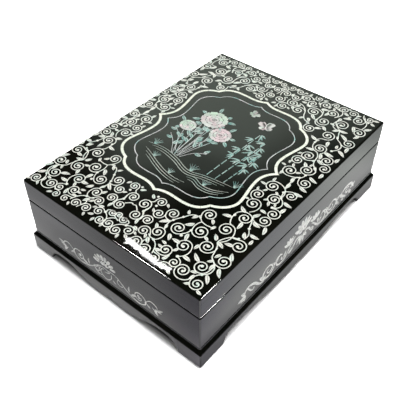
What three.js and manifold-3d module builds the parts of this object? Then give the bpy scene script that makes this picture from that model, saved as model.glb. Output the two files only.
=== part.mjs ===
// Lacquered document box with a lift-off lid on a low bracket base.
// Millimetres, +Z up, front towards -Y. The origin is under the middle of the box, at the level that
// the box stands on.

import * as THREE from 'three';
import { mergeVertices } from 'three/addons/utils/BufferGeometryUtils.js';
import Module from 'manifold-3d';

const wasm = await Module();
wasm.setup();

// Box and lid
const boxWidth = 250;
const boxLength = 345;
const wallHeight = 49.5;
const wallThickness = 9;
const arrisRadius = 1.5; // rounding of the upright corners and of the lid's top edge
const lidRimHeight = 21;
const lidPanelThickness = 8;

// Liner that stands above the seam and locates the lid
const linerThickness = 3;
const linerRise = 7;
const lidClearance = 0.5; // between the liner and the lid's rim
const liningThickness = 1.5;
const liningClearance = 0.5;

// Base
const baseBoardThickness = 7;
const baseProjection = 3.5; // how far the base stands out from the walls
const baseEdgeLand = 0.7; // short upright land under the sloping edge
const baseEdgeQuirk = 1.4; // and the one above it, in line with the walls
const apronHeight = 20;
const apronThickness = 8;
const blockSide = 16;
const padSide = 14;
const padInset = 1.5;
const padThickness = 1;

// Lower edge of the aprons. Heights are above the level that the box stands on, distances along the
// short aprons and along the long ones are from the outer corner (foot, crown) or from the middle (lobe).
const shortApron = { foot: 30, crownAt: 50, crown: 17, lobeAt: 20, lobe: 3.2, cusp: 9 };
const longApron = { foot: 37.5, crownAt: 58, crown: 16.5, lobeAt: 19, lobe: 5, cusp: 10 };

// Shell cartouche let into the lid
const cartoucheShiftX = -6; // from the middle of the lid
const cartoucheShiftY = 11;
const cartoucheHalfWidth = 86.3;
const cartoucheHalfLength = 103.5;
const bandWidth = 3.4;
const lineWidth = 1.2;
const lineInset = 12.5; // from the band's centre line to the thin line's
const shellThickness = 0.5;
const shellClearance = 0.3;

// Heights that follow from the sizes above
const apronTop = padThickness + apronHeight;
const floorTop = apronTop + baseBoardThickness;
const seam = floorTop + wallHeight;
const panelBottom = seam + lidRimHeight;
const lidTop = panelBottom + lidPanelThickness;

const halfWidth = boxWidth / 2;
const halfLength = boxLength / 2;
const baseHalfWidth = halfWidth + baseProjection;
const baseHalfLength = halfLength + baseProjection;

const cornerSteps = 3; // steps in each half of a rounded upright corner
const edgeSteps = 5; // steps over the lid's rounded top edge

const lacquer = () => new THREE.MeshStandardMaterial({ color: 0x0b0c0d, roughness: 0.12, metalness: 0 });
const bareWood = () => new THREE.MeshStandardMaterial({ color: 0x9a7b54, roughness: 0.8, metalness: 0 });
const nacre = () => new THREE.MeshStandardMaterial({ color: 0xdfe6d3, roughness: 0.25, metalness: 0.1 });
const liningCloth = () => new THREE.MeshStandardMaterial({ color: 0x5a1520, roughness: 0.95, metalness: 0 });
const felt = () => new THREE.MeshStandardMaterial({ color: 0x1c1c1e, roughness: 0.95, metalness: 0 });

const box = new THREE.Group();

function addPiece(name, geometry, material) {
  geometry.computeVertexNormals();
  const mesh = new THREE.Mesh(geometry, material);
  mesh.name = name;
  box.add(mesh);
}

// A closed geometry as a manifold solid, and back again.
function toSolid(geometry) {
  const bare = geometry.clone();
  bare.deleteAttribute('normal');
  bare.deleteAttribute('uv');
  const merged = mergeVertices(bare);
  return new wasm.Manifold(new wasm.Mesh({
    numProp: 3,
    vertProperties: Float32Array.from(merged.attributes.position.array),
    triVerts: Uint32Array.from(merged.index.array),
  }));
}

function toGeometry(solid) {
  const mesh = solid.getMesh();
  const geometry = new THREE.BufferGeometry();
  geometry.setAttribute('position', new THREE.BufferAttribute(mesh.vertProperties, 3));
  geometry.setIndex(new THREE.BufferAttribute(mesh.triVerts, 1));
  return geometry;
}

const cutAway = (geometry, cutter) => toGeometry(toSolid(geometry).subtract(toSolid(cutter)));

// A plan outline pulled up from one height to another.
function upright(points, bottom, top) {
  const shape = new THREE.Shape(points);
  const geometry = new THREE.ExtrudeGeometry(shape, { depth: top - bottom, bevelEnabled: false });
  return geometry.translate(0, 0, bottom);
}

// Points on an arc round a centre, in equal steps, both ends included.
function arcPoints(centreX, centreY, radius, fromAngle, toAngle, steps) {
  return Array.from({ length: steps + 1 }, (_, i) => {
    const angle = fromAngle + (toAngle - fromAngle) * i / steps;
    return new THREE.Vector2(centreX + radius * Math.cos(angle), centreY + radius * Math.sin(angle));
  });
}

// A board of a four-sided frame, mitred at both ends. Side 0 is the front, and each further side is a
// quarter turn on: right, back, left.
function mitredBoard(side, frameHalfWidth, frameHalfLength, thickness, radius, bottom, top) {
  const turned = side % 2 === 1;
  const halfRun = turned ? frameHalfLength : frameHalfWidth;
  const out = turned ? frameHalfWidth : frameHalfLength;
  const innerRun = halfRun - thickness;
  const innerOut = out - thickness;
  const x = halfRun - radius;
  const y = out - radius;
  const down = -Math.PI / 2;
  const leftEnd = radius > 0
    ? arcPoints(-x, -y, radius, down - Math.PI / 4, down, cornerSteps)
    : [new THREE.Vector2(-x, -y)];
  const rightEnd = leftEnd.map((p) => new THREE.Vector2(-p.x, p.y)).reverse();
  const plan = [
    new THREE.Vector2(-innerRun, -innerOut), ...leftEnd, ...rightEnd, new THREE.Vector2(innerRun, -innerOut),
  ];
  return upright(plan, bottom, top);
}

const turnTo = (side, geometry) => geometry.rotateZ(side * Math.PI / 2);

// A board whose rounded-rectangle outline is drawn in by a different amount at each level.
function layeredBoard(boardHalfWidth, boardHalfLength, radius, levels) {
  const rings = levels.map(({ height, inset }) => {
    const x = boardHalfWidth - inset - radius;
    const y = boardHalfLength - inset - radius;
    const corners = [[x, y], [-x, y], [-x, -y], [x, -y]];
    return corners.flatMap(([cx, cy], k) => arcPoints(
      cx, cy, radius, k * Math.PI / 2, (k + 1) * Math.PI / 2, 2 * cornerSteps,
    ).map((p) => [p.x, p.y, height]));
  });
  const count = rings[0].length;
  const position = rings.flat(2);
  const lastRing = (levels.length - 1) * count;
  const index = [];
  for (let level = 0; level + 1 < levels.length; level += 1) {
    for (let i = 0; i < count; i += 1) {
      const a = level * count + i;
      const b = level * count + (i + 1) % count;
      index.push(a, b, b + count, a, b + count, a + count);
    }
  }
  for (let i = 1; i + 1 < count; i += 1) {
    index.push(0, i + 1, i);
    index.push(lastRing, lastRing + i, lastRing + i + 1);
  }
  const geometry = new THREE.BufferGeometry();
  geometry.setAttribute('position', new THREE.Float32BufferAttribute(position, 3));
  geometry.setIndex(index);
  return geometry;
}

// Levels of an edge rounded by a quarter circle under a top face.
function roundedTop(bottom, top, radius) {
  const levels = [{ height: bottom, inset: 0 }];
  for (let i = 0; i <= edgeSteps; i += 1) {
    const angle = i / edgeSteps * Math.PI / 2;
    levels.push({
      height: top - radius + radius * Math.sin(angle),
      inset: radius - radius * Math.cos(angle),
    });
  }
  return levels;
}

// Levels of the base board's edge: a short land, a slope up to the walls, and a quirk in line with them.
function slopingEdge(bottom, top, depth) {
  return [
    { height: bottom, inset: 0 },
    { height: bottom + baseEdgeLand, inset: 0 },
    { height: top - baseEdgeQuirk, inset: depth },
    { height: top, inset: depth },
  ];
}

// The opening under an apron, seen from outside. From the middle to one foot it runs from an upward
// cusp round a low lobe, up a long slope to the crown, and down a quarter ellipse to the foot.
function archCutter(apron, halfRun, out) {
  const { crown, lobe, lobeAt, cusp } = apron;
  const footAt = halfRun - apron.foot;
  const crownAt = halfRun - apron.crownAt;
  const slope = (crownAt - lobeAt) / 2;
  const below = -padThickness;
  const shape = new THREE.Shape();
  shape.moveTo(-footAt, below);
  shape.lineTo(footAt, below);
  shape.lineTo(footAt, 0);
  shape.absellipse(crownAt, 0, footAt - crownAt, crown, 0, Math.PI / 2, false);
  shape.bezierCurveTo(crownAt - slope, crown, lobeAt + slope, lobe, lobeAt, lobe);
  shape.bezierCurveTo(lobeAt / 2, lobe, lobeAt / 7, lobe + 1, 0, cusp);
  shape.bezierCurveTo(-lobeAt / 7, lobe + 1, -lobeAt / 2, lobe, -lobeAt, lobe);
  shape.bezierCurveTo(-lobeAt - slope, lobe, slope - crownAt, crown, -crownAt, crown);
  shape.absellipse(-crownAt, 0, footAt - crownAt, crown, Math.PI / 2, Math.PI, false);
  const overrun = 1;
  const depth = apronThickness + 2 * overrun;
  const cutter = new THREE.ExtrudeGeometry(shape, { depth, bevelEnabled: false, curveSegments: 14 });
  return cutter.rotateX(Math.PI / 2).translate(0, overrun + apronThickness - out, 0);
}

// The cartouche's outline: an outward tip in the middle of each side and an inward notch at each
// corner, joined by flat ogee curves. The curves are drawn for one quarter, in shares of the half
// width and the half length, and mirrored.
function cartoucheOutline(halfX, halfY) {
  const at = (shareX, shareY) => new THREE.Vector2(shareX * halfX, shareY * halfY);
  const valleyTop = at(0.232, 0.95);
  const notch = at(0.713, 0.816);
  const shoulder = at(0.948, 0.594);
  const valleySide = at(0.877, 0.213);
  const curves = [
    [at(0, 1), at(0.07, 0.961), at(0.139, 0.95), valleyTop],
    [valleyTop, at(0.417, 0.956), at(0.62, 0.981), notch],
    [notch, at(0.834, 0.787), at(0.948, 0.705), shoulder],
    [shoulder, at(0.948, 0.502), at(0.877, 0.348), valleySide],
    [valleySide, at(0.877, 0.116), at(0.927, 0.053), at(1, 0)],
  ];
  const quarter = curves.flatMap((c) => new THREE.CubicBezierCurve(...c).getPoints(7).slice(0, -1));
  const below = quarter.slice(1).reverse().map((p) => new THREE.Vector2(p.x, -p.y));
  const right = [...quarter, at(1, 0), ...below];
  const left = right.map((p) => new THREE.Vector2(-p.x, -p.y));
  return [...right, ...left].reverse();
}

// An outline moved outwards by a distance, or inwards by a negative one, with mitred corners.
function offsetOutline(points, distance) {
  return points.map((p, i) => {
    const before = points[(i + points.length - 1) % points.length];
    const after = points[(i + 1) % points.length];
    const arriving = p.clone().sub(before).normalize();
    const leaving = after.clone().sub(p).normalize();
    const mean = arriving.clone().add(leaving).normalize();
    const outward = new THREE.Vector2(mean.y, -mean.x);
    const reach = distance / Math.max(0.3, arriving.dot(mean));
    return p.clone().addScaledVector(outward, reach);
  });
}

// A flat ring of one width that follows an outline.
function outlineRing(points, width, bottom, top) {
  const shape = new THREE.Shape(offsetOutline(points, width / 2));
  shape.holes.push(new THREE.Path(offsetOutline(points, -width / 2)));
  const ring = new THREE.ExtrudeGeometry(shape, { depth: top - bottom, bevelEnabled: false });
  return ring.translate(cartoucheShiftX, cartoucheShiftY, bottom);
}

function addFrame(names, frameHalfWidth, frameHalfLength, thickness, radius, bottom, top, material) {
  names.forEach((name, side) => {
    const board = mitredBoard(side, frameHalfWidth, frameHalfLength, thickness, radius, bottom, top);
    addPiece(name, turnTo(side, board), material());
  });
}

function liningBoard(boardHalfWidth, boardHalfLength, bottom) {
  const plan = new THREE.BoxGeometry(2 * boardHalfWidth, 2 * boardHalfLength, liningThickness);
  return plan.translate(0, 0, bottom + liningThickness / 2);
}

const sides = ['front', 'right', 'back', 'left'];
const frameNames = (stem) => sides.map((side) => `${stem}_${side}`);

function addLid() {
  const rimThickness = wallThickness - lidClearance;
  const shellBottom = lidTop - shellThickness;
  const bandPath = cartoucheOutline(cartoucheHalfWidth, cartoucheHalfLength);
  const linePath = cartoucheOutline(cartoucheHalfWidth - lineInset, cartoucheHalfLength - lineInset);
  const grooveTop = lidTop + 1;
  const grooves = [
    outlineRing(bandPath, bandWidth + 2 * shellClearance, shellBottom, grooveTop),
    outlineRing(linePath, lineWidth + 2 * shellClearance, shellBottom, grooveTop),
  ];
  const levels = roundedTop(panelBottom, lidTop, arrisRadius);
  const board = layeredBoard(halfWidth, halfLength, arrisRadius, levels);
  addPiece('lid_top_panel', grooves.reduce(cutAway, board), lacquer());
  addFrame(
    frameNames('lid_rim'), halfWidth, halfLength, rimThickness, arrisRadius, seam, panelBottom, lacquer,
  );
  addPiece('lid_lining', liningBoard(
    halfWidth - rimThickness - liningClearance, halfLength - rimThickness - liningClearance,
    panelBottom - liningThickness,
  ), liningCloth());
  addPiece('lid_cartouche_band', outlineRing(bandPath, bandWidth, shellBottom, lidTop), nacre());
  addPiece('lid_cartouche_line', outlineRing(linePath, lineWidth, shellBottom, lidTop), nacre());
}

function addBox() {
  addFrame(
    frameNames('box_wall'), halfWidth, halfLength, wallThickness, arrisRadius, floorTop, seam, lacquer,
  );
  const linerHalfWidth = halfWidth - wallThickness;
  const linerHalfLength = halfLength - wallThickness;
  addFrame(
    frameNames('liner'), linerHalfWidth, linerHalfLength, linerThickness, 0, floorTop, seam + linerRise,
    lacquer,
  );
  addPiece('floor_lining', liningBoard(
    linerHalfWidth - linerThickness - liningClearance, linerHalfLength - linerThickness - liningClearance,
    floorTop,
  ), liningCloth());
  addPiece('base_board', layeredBoard(
    baseHalfWidth, baseHalfLength, arrisRadius, slopingEdge(apronTop, floorTop, baseProjection),
  ), lacquer());
}

function addAprons() {
  frameNames('apron').forEach((name, side) => {
    const turned = side % 2 === 1;
    const board = mitredBoard(
      side, baseHalfWidth, baseHalfLength, apronThickness, arrisRadius, padThickness, apronTop,
    );
    const cutter = turned
      ? archCutter(longApron, baseHalfLength, baseHalfWidth)
      : archCutter(shortApron, baseHalfWidth, baseHalfLength);
    addPiece(name, turnTo(side, cutAway(board, cutter)), lacquer());
  });
}

function addFeet() {
  const blockX = baseHalfWidth - apronThickness - blockSide / 2;
  const blockY = baseHalfLength - apronThickness - blockSide / 2;
  const padX = baseHalfWidth - padInset - padSide / 2;
  const padY = baseHalfLength - padInset - padSide / 2;
  for (const [along, signY] of [['front', -1], ['back', 1]]) {
    for (const [across, signX] of [['left', -1], ['right', 1]]) {
      const block = new THREE.BoxGeometry(blockSide, blockSide, apronHeight);
      block.translate(signX * blockX, signY * blockY, padThickness + apronHeight / 2);
      addPiece(`corner_block_${along}_${across}`, block, bareWood());
      const pad = new THREE.BoxGeometry(padSide, padSide, padThickness);
      pad.translate(signX * padX, signY * padY, padThickness / 2);
      addPiece(`foot_pad_${along}_${across}`, pad, felt());
    }
  }
}

addLid();
addBox();
addAprons();
addFeet();

export default box;
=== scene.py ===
import math

import bmesh
import bpy
import numpy as np
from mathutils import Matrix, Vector


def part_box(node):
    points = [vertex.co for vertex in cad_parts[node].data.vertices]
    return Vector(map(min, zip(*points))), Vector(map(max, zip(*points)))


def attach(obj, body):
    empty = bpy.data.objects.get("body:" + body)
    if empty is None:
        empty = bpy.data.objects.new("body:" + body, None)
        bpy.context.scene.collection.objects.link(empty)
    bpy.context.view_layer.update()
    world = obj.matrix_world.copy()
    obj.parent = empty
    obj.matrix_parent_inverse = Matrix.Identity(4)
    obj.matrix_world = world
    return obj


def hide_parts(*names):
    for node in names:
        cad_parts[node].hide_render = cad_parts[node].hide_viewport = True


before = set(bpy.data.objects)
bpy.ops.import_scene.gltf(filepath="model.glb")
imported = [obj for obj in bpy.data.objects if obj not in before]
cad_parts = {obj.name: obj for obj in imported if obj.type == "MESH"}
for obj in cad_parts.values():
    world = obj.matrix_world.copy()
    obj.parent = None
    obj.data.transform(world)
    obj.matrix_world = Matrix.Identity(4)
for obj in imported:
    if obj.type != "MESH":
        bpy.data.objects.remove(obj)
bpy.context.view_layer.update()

# Shapes are worked out in millimetres and stored in metres. Up is +Z and the front faces -Y.
mm = 0.001
panelLow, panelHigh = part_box("lid_top_panel")
wallLow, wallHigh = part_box("box_wall_front")
apronLow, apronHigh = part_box("apron_front")
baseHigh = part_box("base_board")[1]
halfWidth = panelHigh.x / mm
halfLength = panelHigh.y / mm
lidTop = panelHigh.z / mm
panelBottom = panelLow.z / mm
seam = wallHigh.z / mm
floorTop = wallLow.z / mm
apronTop = apronHigh.z / mm
padTop = apronLow.z / mm
baseHalfWidth = baseHigh.x / mm
baseHalfLength = baseHigh.y / mm
print("frame: lid", round(2 * halfWidth), "by", round(2 * halfLength), "mm")


# Shader maths: a socket that can stand in a sum, each operator adding its Math node.
class Wire:
    def __init__(self, tree, socket):
        self.tree = tree
        self.socket = socket

    # one Math node on two numbers or wires
    def join(self, operation, first, second=0.0):
        return self.tree.node("ShaderNodeMath", {"operation": operation}, {0: first, 1: second})

    def __add__(self, other):
        return self.join("ADD", self, other)

    def __radd__(self, other):
        return self.join("ADD", other, self)

    def __sub__(self, other):
        return self.join("SUBTRACT", self, other)

    def __rsub__(self, other):
        return self.join("SUBTRACT", other, self)

    def __mul__(self, other):
        return self.join("MULTIPLY", self, other)

    def __rmul__(self, other):
        return self.join("MULTIPLY", other, self)

    def __truediv__(self, other):
        return self.join("DIVIDE", self, other)

    def __rtruediv__(self, other):
        return self.join("DIVIDE", other, self)

    def floor(self):
        return self.join("FLOOR", self)

    # without its sign
    def size(self):
        return self.join("ABSOLUTE", self)

    # the higher of the two
    def most(self, other):
        return self.join("MAXIMUM", self, other)

    # another output of the node that this wire comes from
    def other(self, name):
        return Wire(self.tree, self.socket.node.outputs[name])

    # 0 below low, 1 above high, and 3 t squared - 2 t cubed between, t being the share of the way
    def rise(self, low, high):
        return self.tree.node(
            "ShaderNodeMapRange", {"interpolation_type": "SMOOTHSTEP"},
            {"Value": self, "From Min": low, "From Max": high},
        )


# A node tree with one method that adds any node: its settings first, then its sockets' values or links.
class Tree:
    def __init__(self, tree):
        self.tree = tree
        self.tree.nodes.clear()

    def node(self, kind, settings=None, sockets=None, out=0):
        node = self.tree.nodes.new(kind)
        for name, value in (settings or {}).items():
            setattr(node, name, value)
        for name, value in (sockets or {}).items():
            if isinstance(value, Wire):
                self.tree.links.new(value.socket, node.inputs[name])
            else:
                node.inputs[name].default_value = value
        if len(node.outputs) == 0:
            return node
        return Wire(self, node.outputs[out])

    # the point in the object's own metres
    def place(self):
        return self.node("ShaderNodeTexCoord", out="Object")

    # first less the share + second times the share, or their product; 6 and 7 are the colour sockets
    def mixColour(self, share, first, second, blend="MIX"):
        settings = {"data_type": "RGBA", "blend_type": blend}
        return self.node("ShaderNodeMix", settings, {0: share, 6: first, 7: second}, out=2)

    def mixSurface(self, share, first, second):
        return self.node("ShaderNodeMixShader", {}, {0: share, 1: first, 2: second})

    def noise(self, where, scale, detail=2.0, roughness=0.5, out="Fac"):
        sockets = {"Vector": where, "Scale": scale, "Detail": detail, "Roughness": roughness}
        return self.node("ShaderNodeTexNoise", {}, sockets, out=out)

    def bump(self, height, distance, strength=1.0, normal=None):
        sockets = {"Height": height, "Distance": distance, "Strength": strength}
        if normal is not None:
            sockets["Normal"] = normal
        return self.node("ShaderNodeBump", {}, sockets)


# A new material and its node tree, still empty.
def startFinish(name):
    material = bpy.data.materials.new(name)
    material.use_nodes = True
    return material, Tree(material.node_tree)


# The last shader goes to the material's output.
def closeFinish(tree, surface):
    tree.node("ShaderNodeOutputMaterial", {}, {"Surface": surface})


# One level for red, green and blue.
def grey(level):
    return (level, level, level, 1.0)


# In a look, a noise is its scale, detail and roughness, an edge is the noise levels where something starts
# and is full, and a relief is a bump's distance in metres and its strength.
lacquerLook = {
    "depth": (0.0024, 0.0030, 0.0018, 1.0),
    "warmth": (0.0046, 0.0044, 0.0028, 1.0),
    "patches": (14.0, 3.0),
    "patchEdge": (0.35, 0.75),
    "rubbing": (60.0, 4.0, 0.6),
    "rubbingEdge": (0.45, 0.8),
    "dust": (900.0, 2.0),
    "dustEdge": (0.7, 0.8),
    "roughness": 0.02,
    "haze": 0.02,  # most that the rubbing adds to it
    "specks": 0.02,  # and that the dust adds
    "swell": (11.0, 0.0006),  # scale and distance in metres of the long waves of a hand-rubbed face
    "peel": (260.0, 0.000006),
    "ior": 1.52,
}


# Polished black lacquer: near black with a faint warm cast in patches, rubbed hazier here and there,
# over a face that is never quite flat. Roughness = its least + rubbing times haze + dust times specks.
def makeLacquer(name, look):
    material, tree = startFinish(name)
    where = tree.place()
    patches = tree.noise(where, *look["patches"])
    cast = tree.mixColour(patches.rise(*look["patchEdge"]), look["depth"], look["warmth"])
    rubbing = tree.noise(where, *look["rubbing"])
    dust = tree.noise(where, *look["dust"])
    roughness = look["roughness"] + rubbing.rise(*look["rubbingEdge"]) * look["haze"]
    roughness = roughness + dust.rise(*look["dustEdge"]) * look["specks"]
    normal = None
    for scale, distance in (look["swell"], look["peel"]):
        normal = tree.bump(tree.noise(where, scale, 1.0), distance, 1.0, normal)
    surface = tree.node("ShaderNodeBsdfPrincipled", {}, {
        "Base Color": cast,
        "Roughness": roughness,
        "IOR": look["ior"],
        "Normal": normal,
    })
    closeFinish(tree, surface)
    return material


shellLook = {
    "pale": (0.87, 0.89, 0.81, 1.0),
    "cool": (0.68, 0.81, 0.73, 1.0),
    "warm": (0.91, 0.89, 0.81, 1.0),
    "cut": 7.0,  # mm from one joint to the next
    "joint": 0.03,  # half of a joint, as a share of that
    "jointShade": 0.75,
    "cloud": 30.0,
    "cloudDetail": (3.0, 0.6),
    "scatter": 0.5,  # share of the tint that changes from piece to piece
    "turns": (0.12, 0.46, 0.56, 0.92),  # where cool ends, pale starts, pale ends and warm starts
    "growth": 0.08,  # most that the growth lines darken
    "growthEdge": (0.2, 0.9),
    "unevenness": 0.14,  # and that one length is darker than the next
    "numbering": 91.7,  # keeps the chance values of the pieces apart
    "roughness": (0.24, 0.16),  # its least, and what chance adds
    "coatRoughness": 0.04,
    "relief": (0.00001, 0.5),
}


# Shell under clear lacquer. The strip's own map gives millimetres along the piece and a number for
# the piece, so every cut length takes its own tint, with a fine joint between two lengths. Play, which
# picks the tint, = chance times scatter + cloud times the rest. Shade = 1 - growth - unevenness.
def makeShell(name, look):
    material, tree = startFinish(name)
    where = tree.place()
    strip = tree.node("ShaderNodeUVMap", {"uv_map": "cut"})
    split = tree.node("ShaderNodeSeparateXYZ", {}, {0: strip})
    along = split / look["cut"]
    length = along.floor()
    seed = tree.node("ShaderNodeCombineXYZ", {}, {0: length, 1: split.other("Y") * look["numbering"]})
    chance = tree.node("ShaderNodeTexWhiteNoise", {"noise_dimensions": "3D"}, {"Vector": seed})
    second = tree.node("ShaderNodeSeparateXYZ", {}, {0: chance.other("Color")}, out="Y")
    cloud = tree.noise(where, look["cloud"], *look["cloudDetail"])
    play = chance * look["scatter"] + cloud * (1.0 - look["scatter"])
    coolEnd, paleStart, paleEnd, warmStart = look["turns"]
    tint = tree.mixColour(play.rise(coolEnd, paleStart), look["cool"], look["pale"])
    tint = tree.mixColour(play.rise(paleEnd, warmStart), tint, look["warm"])
    growth = tree.node("ShaderNodeTexWave", {"wave_profile": "SIN"}, {
        "Vector": where, "Scale": 210.0, "Distortion": 9.0, "Detail": 2.0, "Detail Scale": 1.5,
    })
    shade = 1.0 - growth.rise(*look["growthEdge"]) * look["growth"] - second * look["unevenness"]
    joint = ((along - length) - 0.5).size().rise(0.5 - look["joint"], 0.5)
    shade = shade * (1.0 - joint * look["jointShade"])
    dull = tree.node("ShaderNodeCombineColor", {}, {0: shade, 1: shade, 2: shade})
    tint = tree.mixColour(1.0, tint, dull, "MULTIPLY")
    least, dulling = look["roughness"]
    surface = tree.node("ShaderNodeBsdfPrincipled", {}, {
        "Base Color": tint,
        "Roughness": least + second * dulling,
        "Coat Weight": 1.0,
        "Coat Roughness": look["coatRoughness"],
        "Normal": tree.bump(growth, *look["relief"]),
    })
    closeFinish(tree, surface)
    return material


bandLook = dict(
    shellLook, pale=(0.90, 0.93, 0.80, 1.0), cool=(0.82, 0.90, 0.76, 1.0), warm=(0.93, 0.92, 0.80, 1.0),
    cut=11.0, unevenness=0.06,
)
lineLook = dict(
    shellLook, pale=(0.70, 0.72, 0.71, 1.0), cool=(0.36, 0.64, 0.60, 1.0), warm=(0.86, 0.83, 0.84, 1.0),
    cut=8.0, unevenness=0.32, scatter=0.8, turns=(0.10, 0.32, 0.60, 0.90),
)
blossomLook = dict(
    shellLook, pale=(0.75, 0.77, 0.73, 1.0), cool=(0.58, 0.76, 0.60, 1.0), warm=(0.82, 0.64, 0.67, 1.0),
    cut=14.0, unevenness=0.26, scatter=0.2, cloud=34.0, growth=0.22, turns=(0.36, 0.48, 0.50, 0.62),
)
tealLook = dict(
    shellLook, pale=(0.42, 0.64, 0.58, 1.0), cool=(0.14, 0.44, 0.40, 1.0), warm=(0.72, 0.80, 0.75, 1.0),
    cut=5.0, unevenness=0.40, scatter=0.6, cloud=60.0, growth=0.2,
)
mistLook = dict(
    shellLook, pale=(0.44, 0.50, 0.44, 1.0), cool=(0.30, 0.45, 0.40, 1.0), warm=(0.60, 0.60, 0.54, 1.0),
    cut=26.0, unevenness=0.16, scatter=0.6,
)
# The walls' shell is paler than the lid's as painted light, the walls getting less of the lamp. Its tints,
# cut lengths and growth lines are its own.
litWallShellLook = dict(
    shellLook, pale=(0.92, 0.92, 0.86, 1.0), cool=(0.74, 0.79, 0.75, 1.0), warm=(0.96, 0.96, 0.92, 1.0),
    cut=4.0, unevenness=0.26, scatter=0.6, growth=0.14,
)

clothLook = {
    "pile": (0.150, 0.016, 0.026, 1.0),
    "nap": (0.235, 0.030, 0.044, 1.0),
    "threads": {"Scale": 620.0, "Distortion": 1.2, "Detail": 1.0},
    "brushing": (22.0, 4.0, 0.65),
    "brushingEdge": (0.3, 0.7),
    "fibre": (1500.0, 2.0),
    "fibreShare": 0.4,  # of the colour and of the relief
    "roughness": (0.92, 0.1),  # its most, and what the fibre takes off
    "sheen": 0.35,
    "relief": (0.0002, 0.7),
}


# Short-pile lining cloth: fine threads crossed at half a millimetre, brushed lighter in broad patches.
# Weave = warp times weft, and colour and relief are it or the brushing with a share of fibre.
def makeCloth(name, look):
    material, tree = startFinish(name)
    where = tree.place()
    warp, weft = [
        tree.node("ShaderNodeTexWave", {"bands_direction": way}, dict(look["threads"], Vector=where))
        for way in ("X", "Y")
    ]
    weave = warp * weft
    brushed = tree.noise(where, *look["brushing"])
    fibre = tree.noise(where, *look["fibre"])
    fine = fibre * look["fibreShare"]
    broad = 1.0 - look["fibreShare"]
    lighter = brushed.rise(*look["brushingEdge"]) * broad + fine
    most, fall = look["roughness"]
    surface = tree.node("ShaderNodeBsdfPrincipled", {}, {
        "Base Color": tree.mixColour(lighter, look["pile"], look["nap"]),
        "Roughness": most - fibre * fall,
        "Sheen Weight": look["sheen"],
        "Normal": tree.bump(weave * broad + fine, *look["relief"]),
    })
    closeFinish(tree, surface)
    return material


feltLook = {
    "dark": (0.012, 0.012, 0.014, 1.0),
    "light": (0.045, 0.045, 0.05, 1.0),
    "tangle": (900.0, 6.0, 0.7),
    "tangleEdge": (0.35, 0.7),
    "roughness": 0.95,
    "relief": (0.0003, 0.8),
}


# Pressed felt: tangled fibres, one noise that lightens and lifts them where they stand up.
def makeFelt(name, look):
    material, tree = startFinish(name)
    tangle = tree.noise(tree.place(), *look["tangle"])
    surface = tree.node("ShaderNodeBsdfPrincipled", {}, {
        "Base Color": tree.mixColour(tangle.rise(*look["tangleEdge"]), look["dark"], look["light"]),
        "Roughness": look["roughness"],
        "Normal": tree.bump(tangle, *look["relief"]),
    })
    closeFinish(tree, surface)
    return material


woodLook = {
    "early": (0.42, 0.27, 0.14, 1.0),
    "late": (0.24, 0.13, 0.06, 1.0),
    "rings": 260.0,  # to the metre
    "waveBands": 3.0,  # to the metre that a wave texture draws at scale 1
    "upright": 0.08,  # how much slower the pattern changes along the grain
    "wander": (35.0, 3.0),
    "ringShare": 0.7,  # of the colour, the rest being wander
    "pores": (1400.0, 2.0),
    "roughness": (0.62, 0.2),  # its least, and what the pores add
    "relief": (0.00012, 0.6),
}


# Bare glue blocks: grain upright, with growth rings a few millimetres apart and open pores. Colour = rings
# times their share + wander times the rest, and relief = half rings and half pores.
def makeWood(name, look):
    material, tree = startFinish(name)
    stretched = tree.node("ShaderNodeMapping", {}, {0: tree.place(), "Scale": (1.0, 1.0, look["upright"])})
    wander = tree.noise(stretched, *look["wander"])
    rings = tree.node("ShaderNodeTexWave", {"wave_type": "BANDS", "bands_direction": "X"}, {
        "Vector": stretched, "Scale": look["rings"] / look["waveBands"], "Distortion": 5.0, "Detail": 3.0,
    })
    pores = tree.noise(stretched, *look["pores"])
    darker = rings * look["ringShare"] + wander * (1.0 - look["ringShare"])
    least, rougher = look["roughness"]
    surface = tree.node("ShaderNodeBsdfPrincipled", {}, {
        "Base Color": tree.mixColour(darker, look["early"], look["late"]),
        "Roughness": least + pores * rougher,
        "Normal": tree.bump(rings * 0.5 + pores * 0.5, *look["relief"]),
    })
    closeFinish(tree, surface)
    return material


lacquer = makeLacquer("black_lacquer", lacquerLook)
insideLacquer = makeLacquer("inside_lacquer", dict(lacquerLook, roughness=0.16, haze=0.12))
vineShell = makeShell("vine_shell", shellLook)
bandShell = makeShell("band_shell", bandLook)
lineShell = makeShell("line_shell", lineLook)
blossomShell = makeShell("blossom_shell", blossomLook)
tealShell = makeShell("teal_shell", tealLook)
mistShell = makeShell("mist_shell", mistLook)
litWallShell = makeShell("wall_nacre_lit", litWallShellLook)
# The front and back walls take the same shell, darker at random from length to length and darker overall as
# painted shade.
shadedShortWallShell = makeShell("short_wall_nacre_shaded", dict(litWallShellLook, unevenness=0.5))
liningCloth = makeCloth("lining_cloth", clothLook)
footFelt = makeFelt("foot_felt", feltLook)
bareWood = makeWood("bare_wood", woodLook)
print("finishes: ready")


merging = {"doubles": 2e-7, "slivers": 1e-7}  # metres


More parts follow.
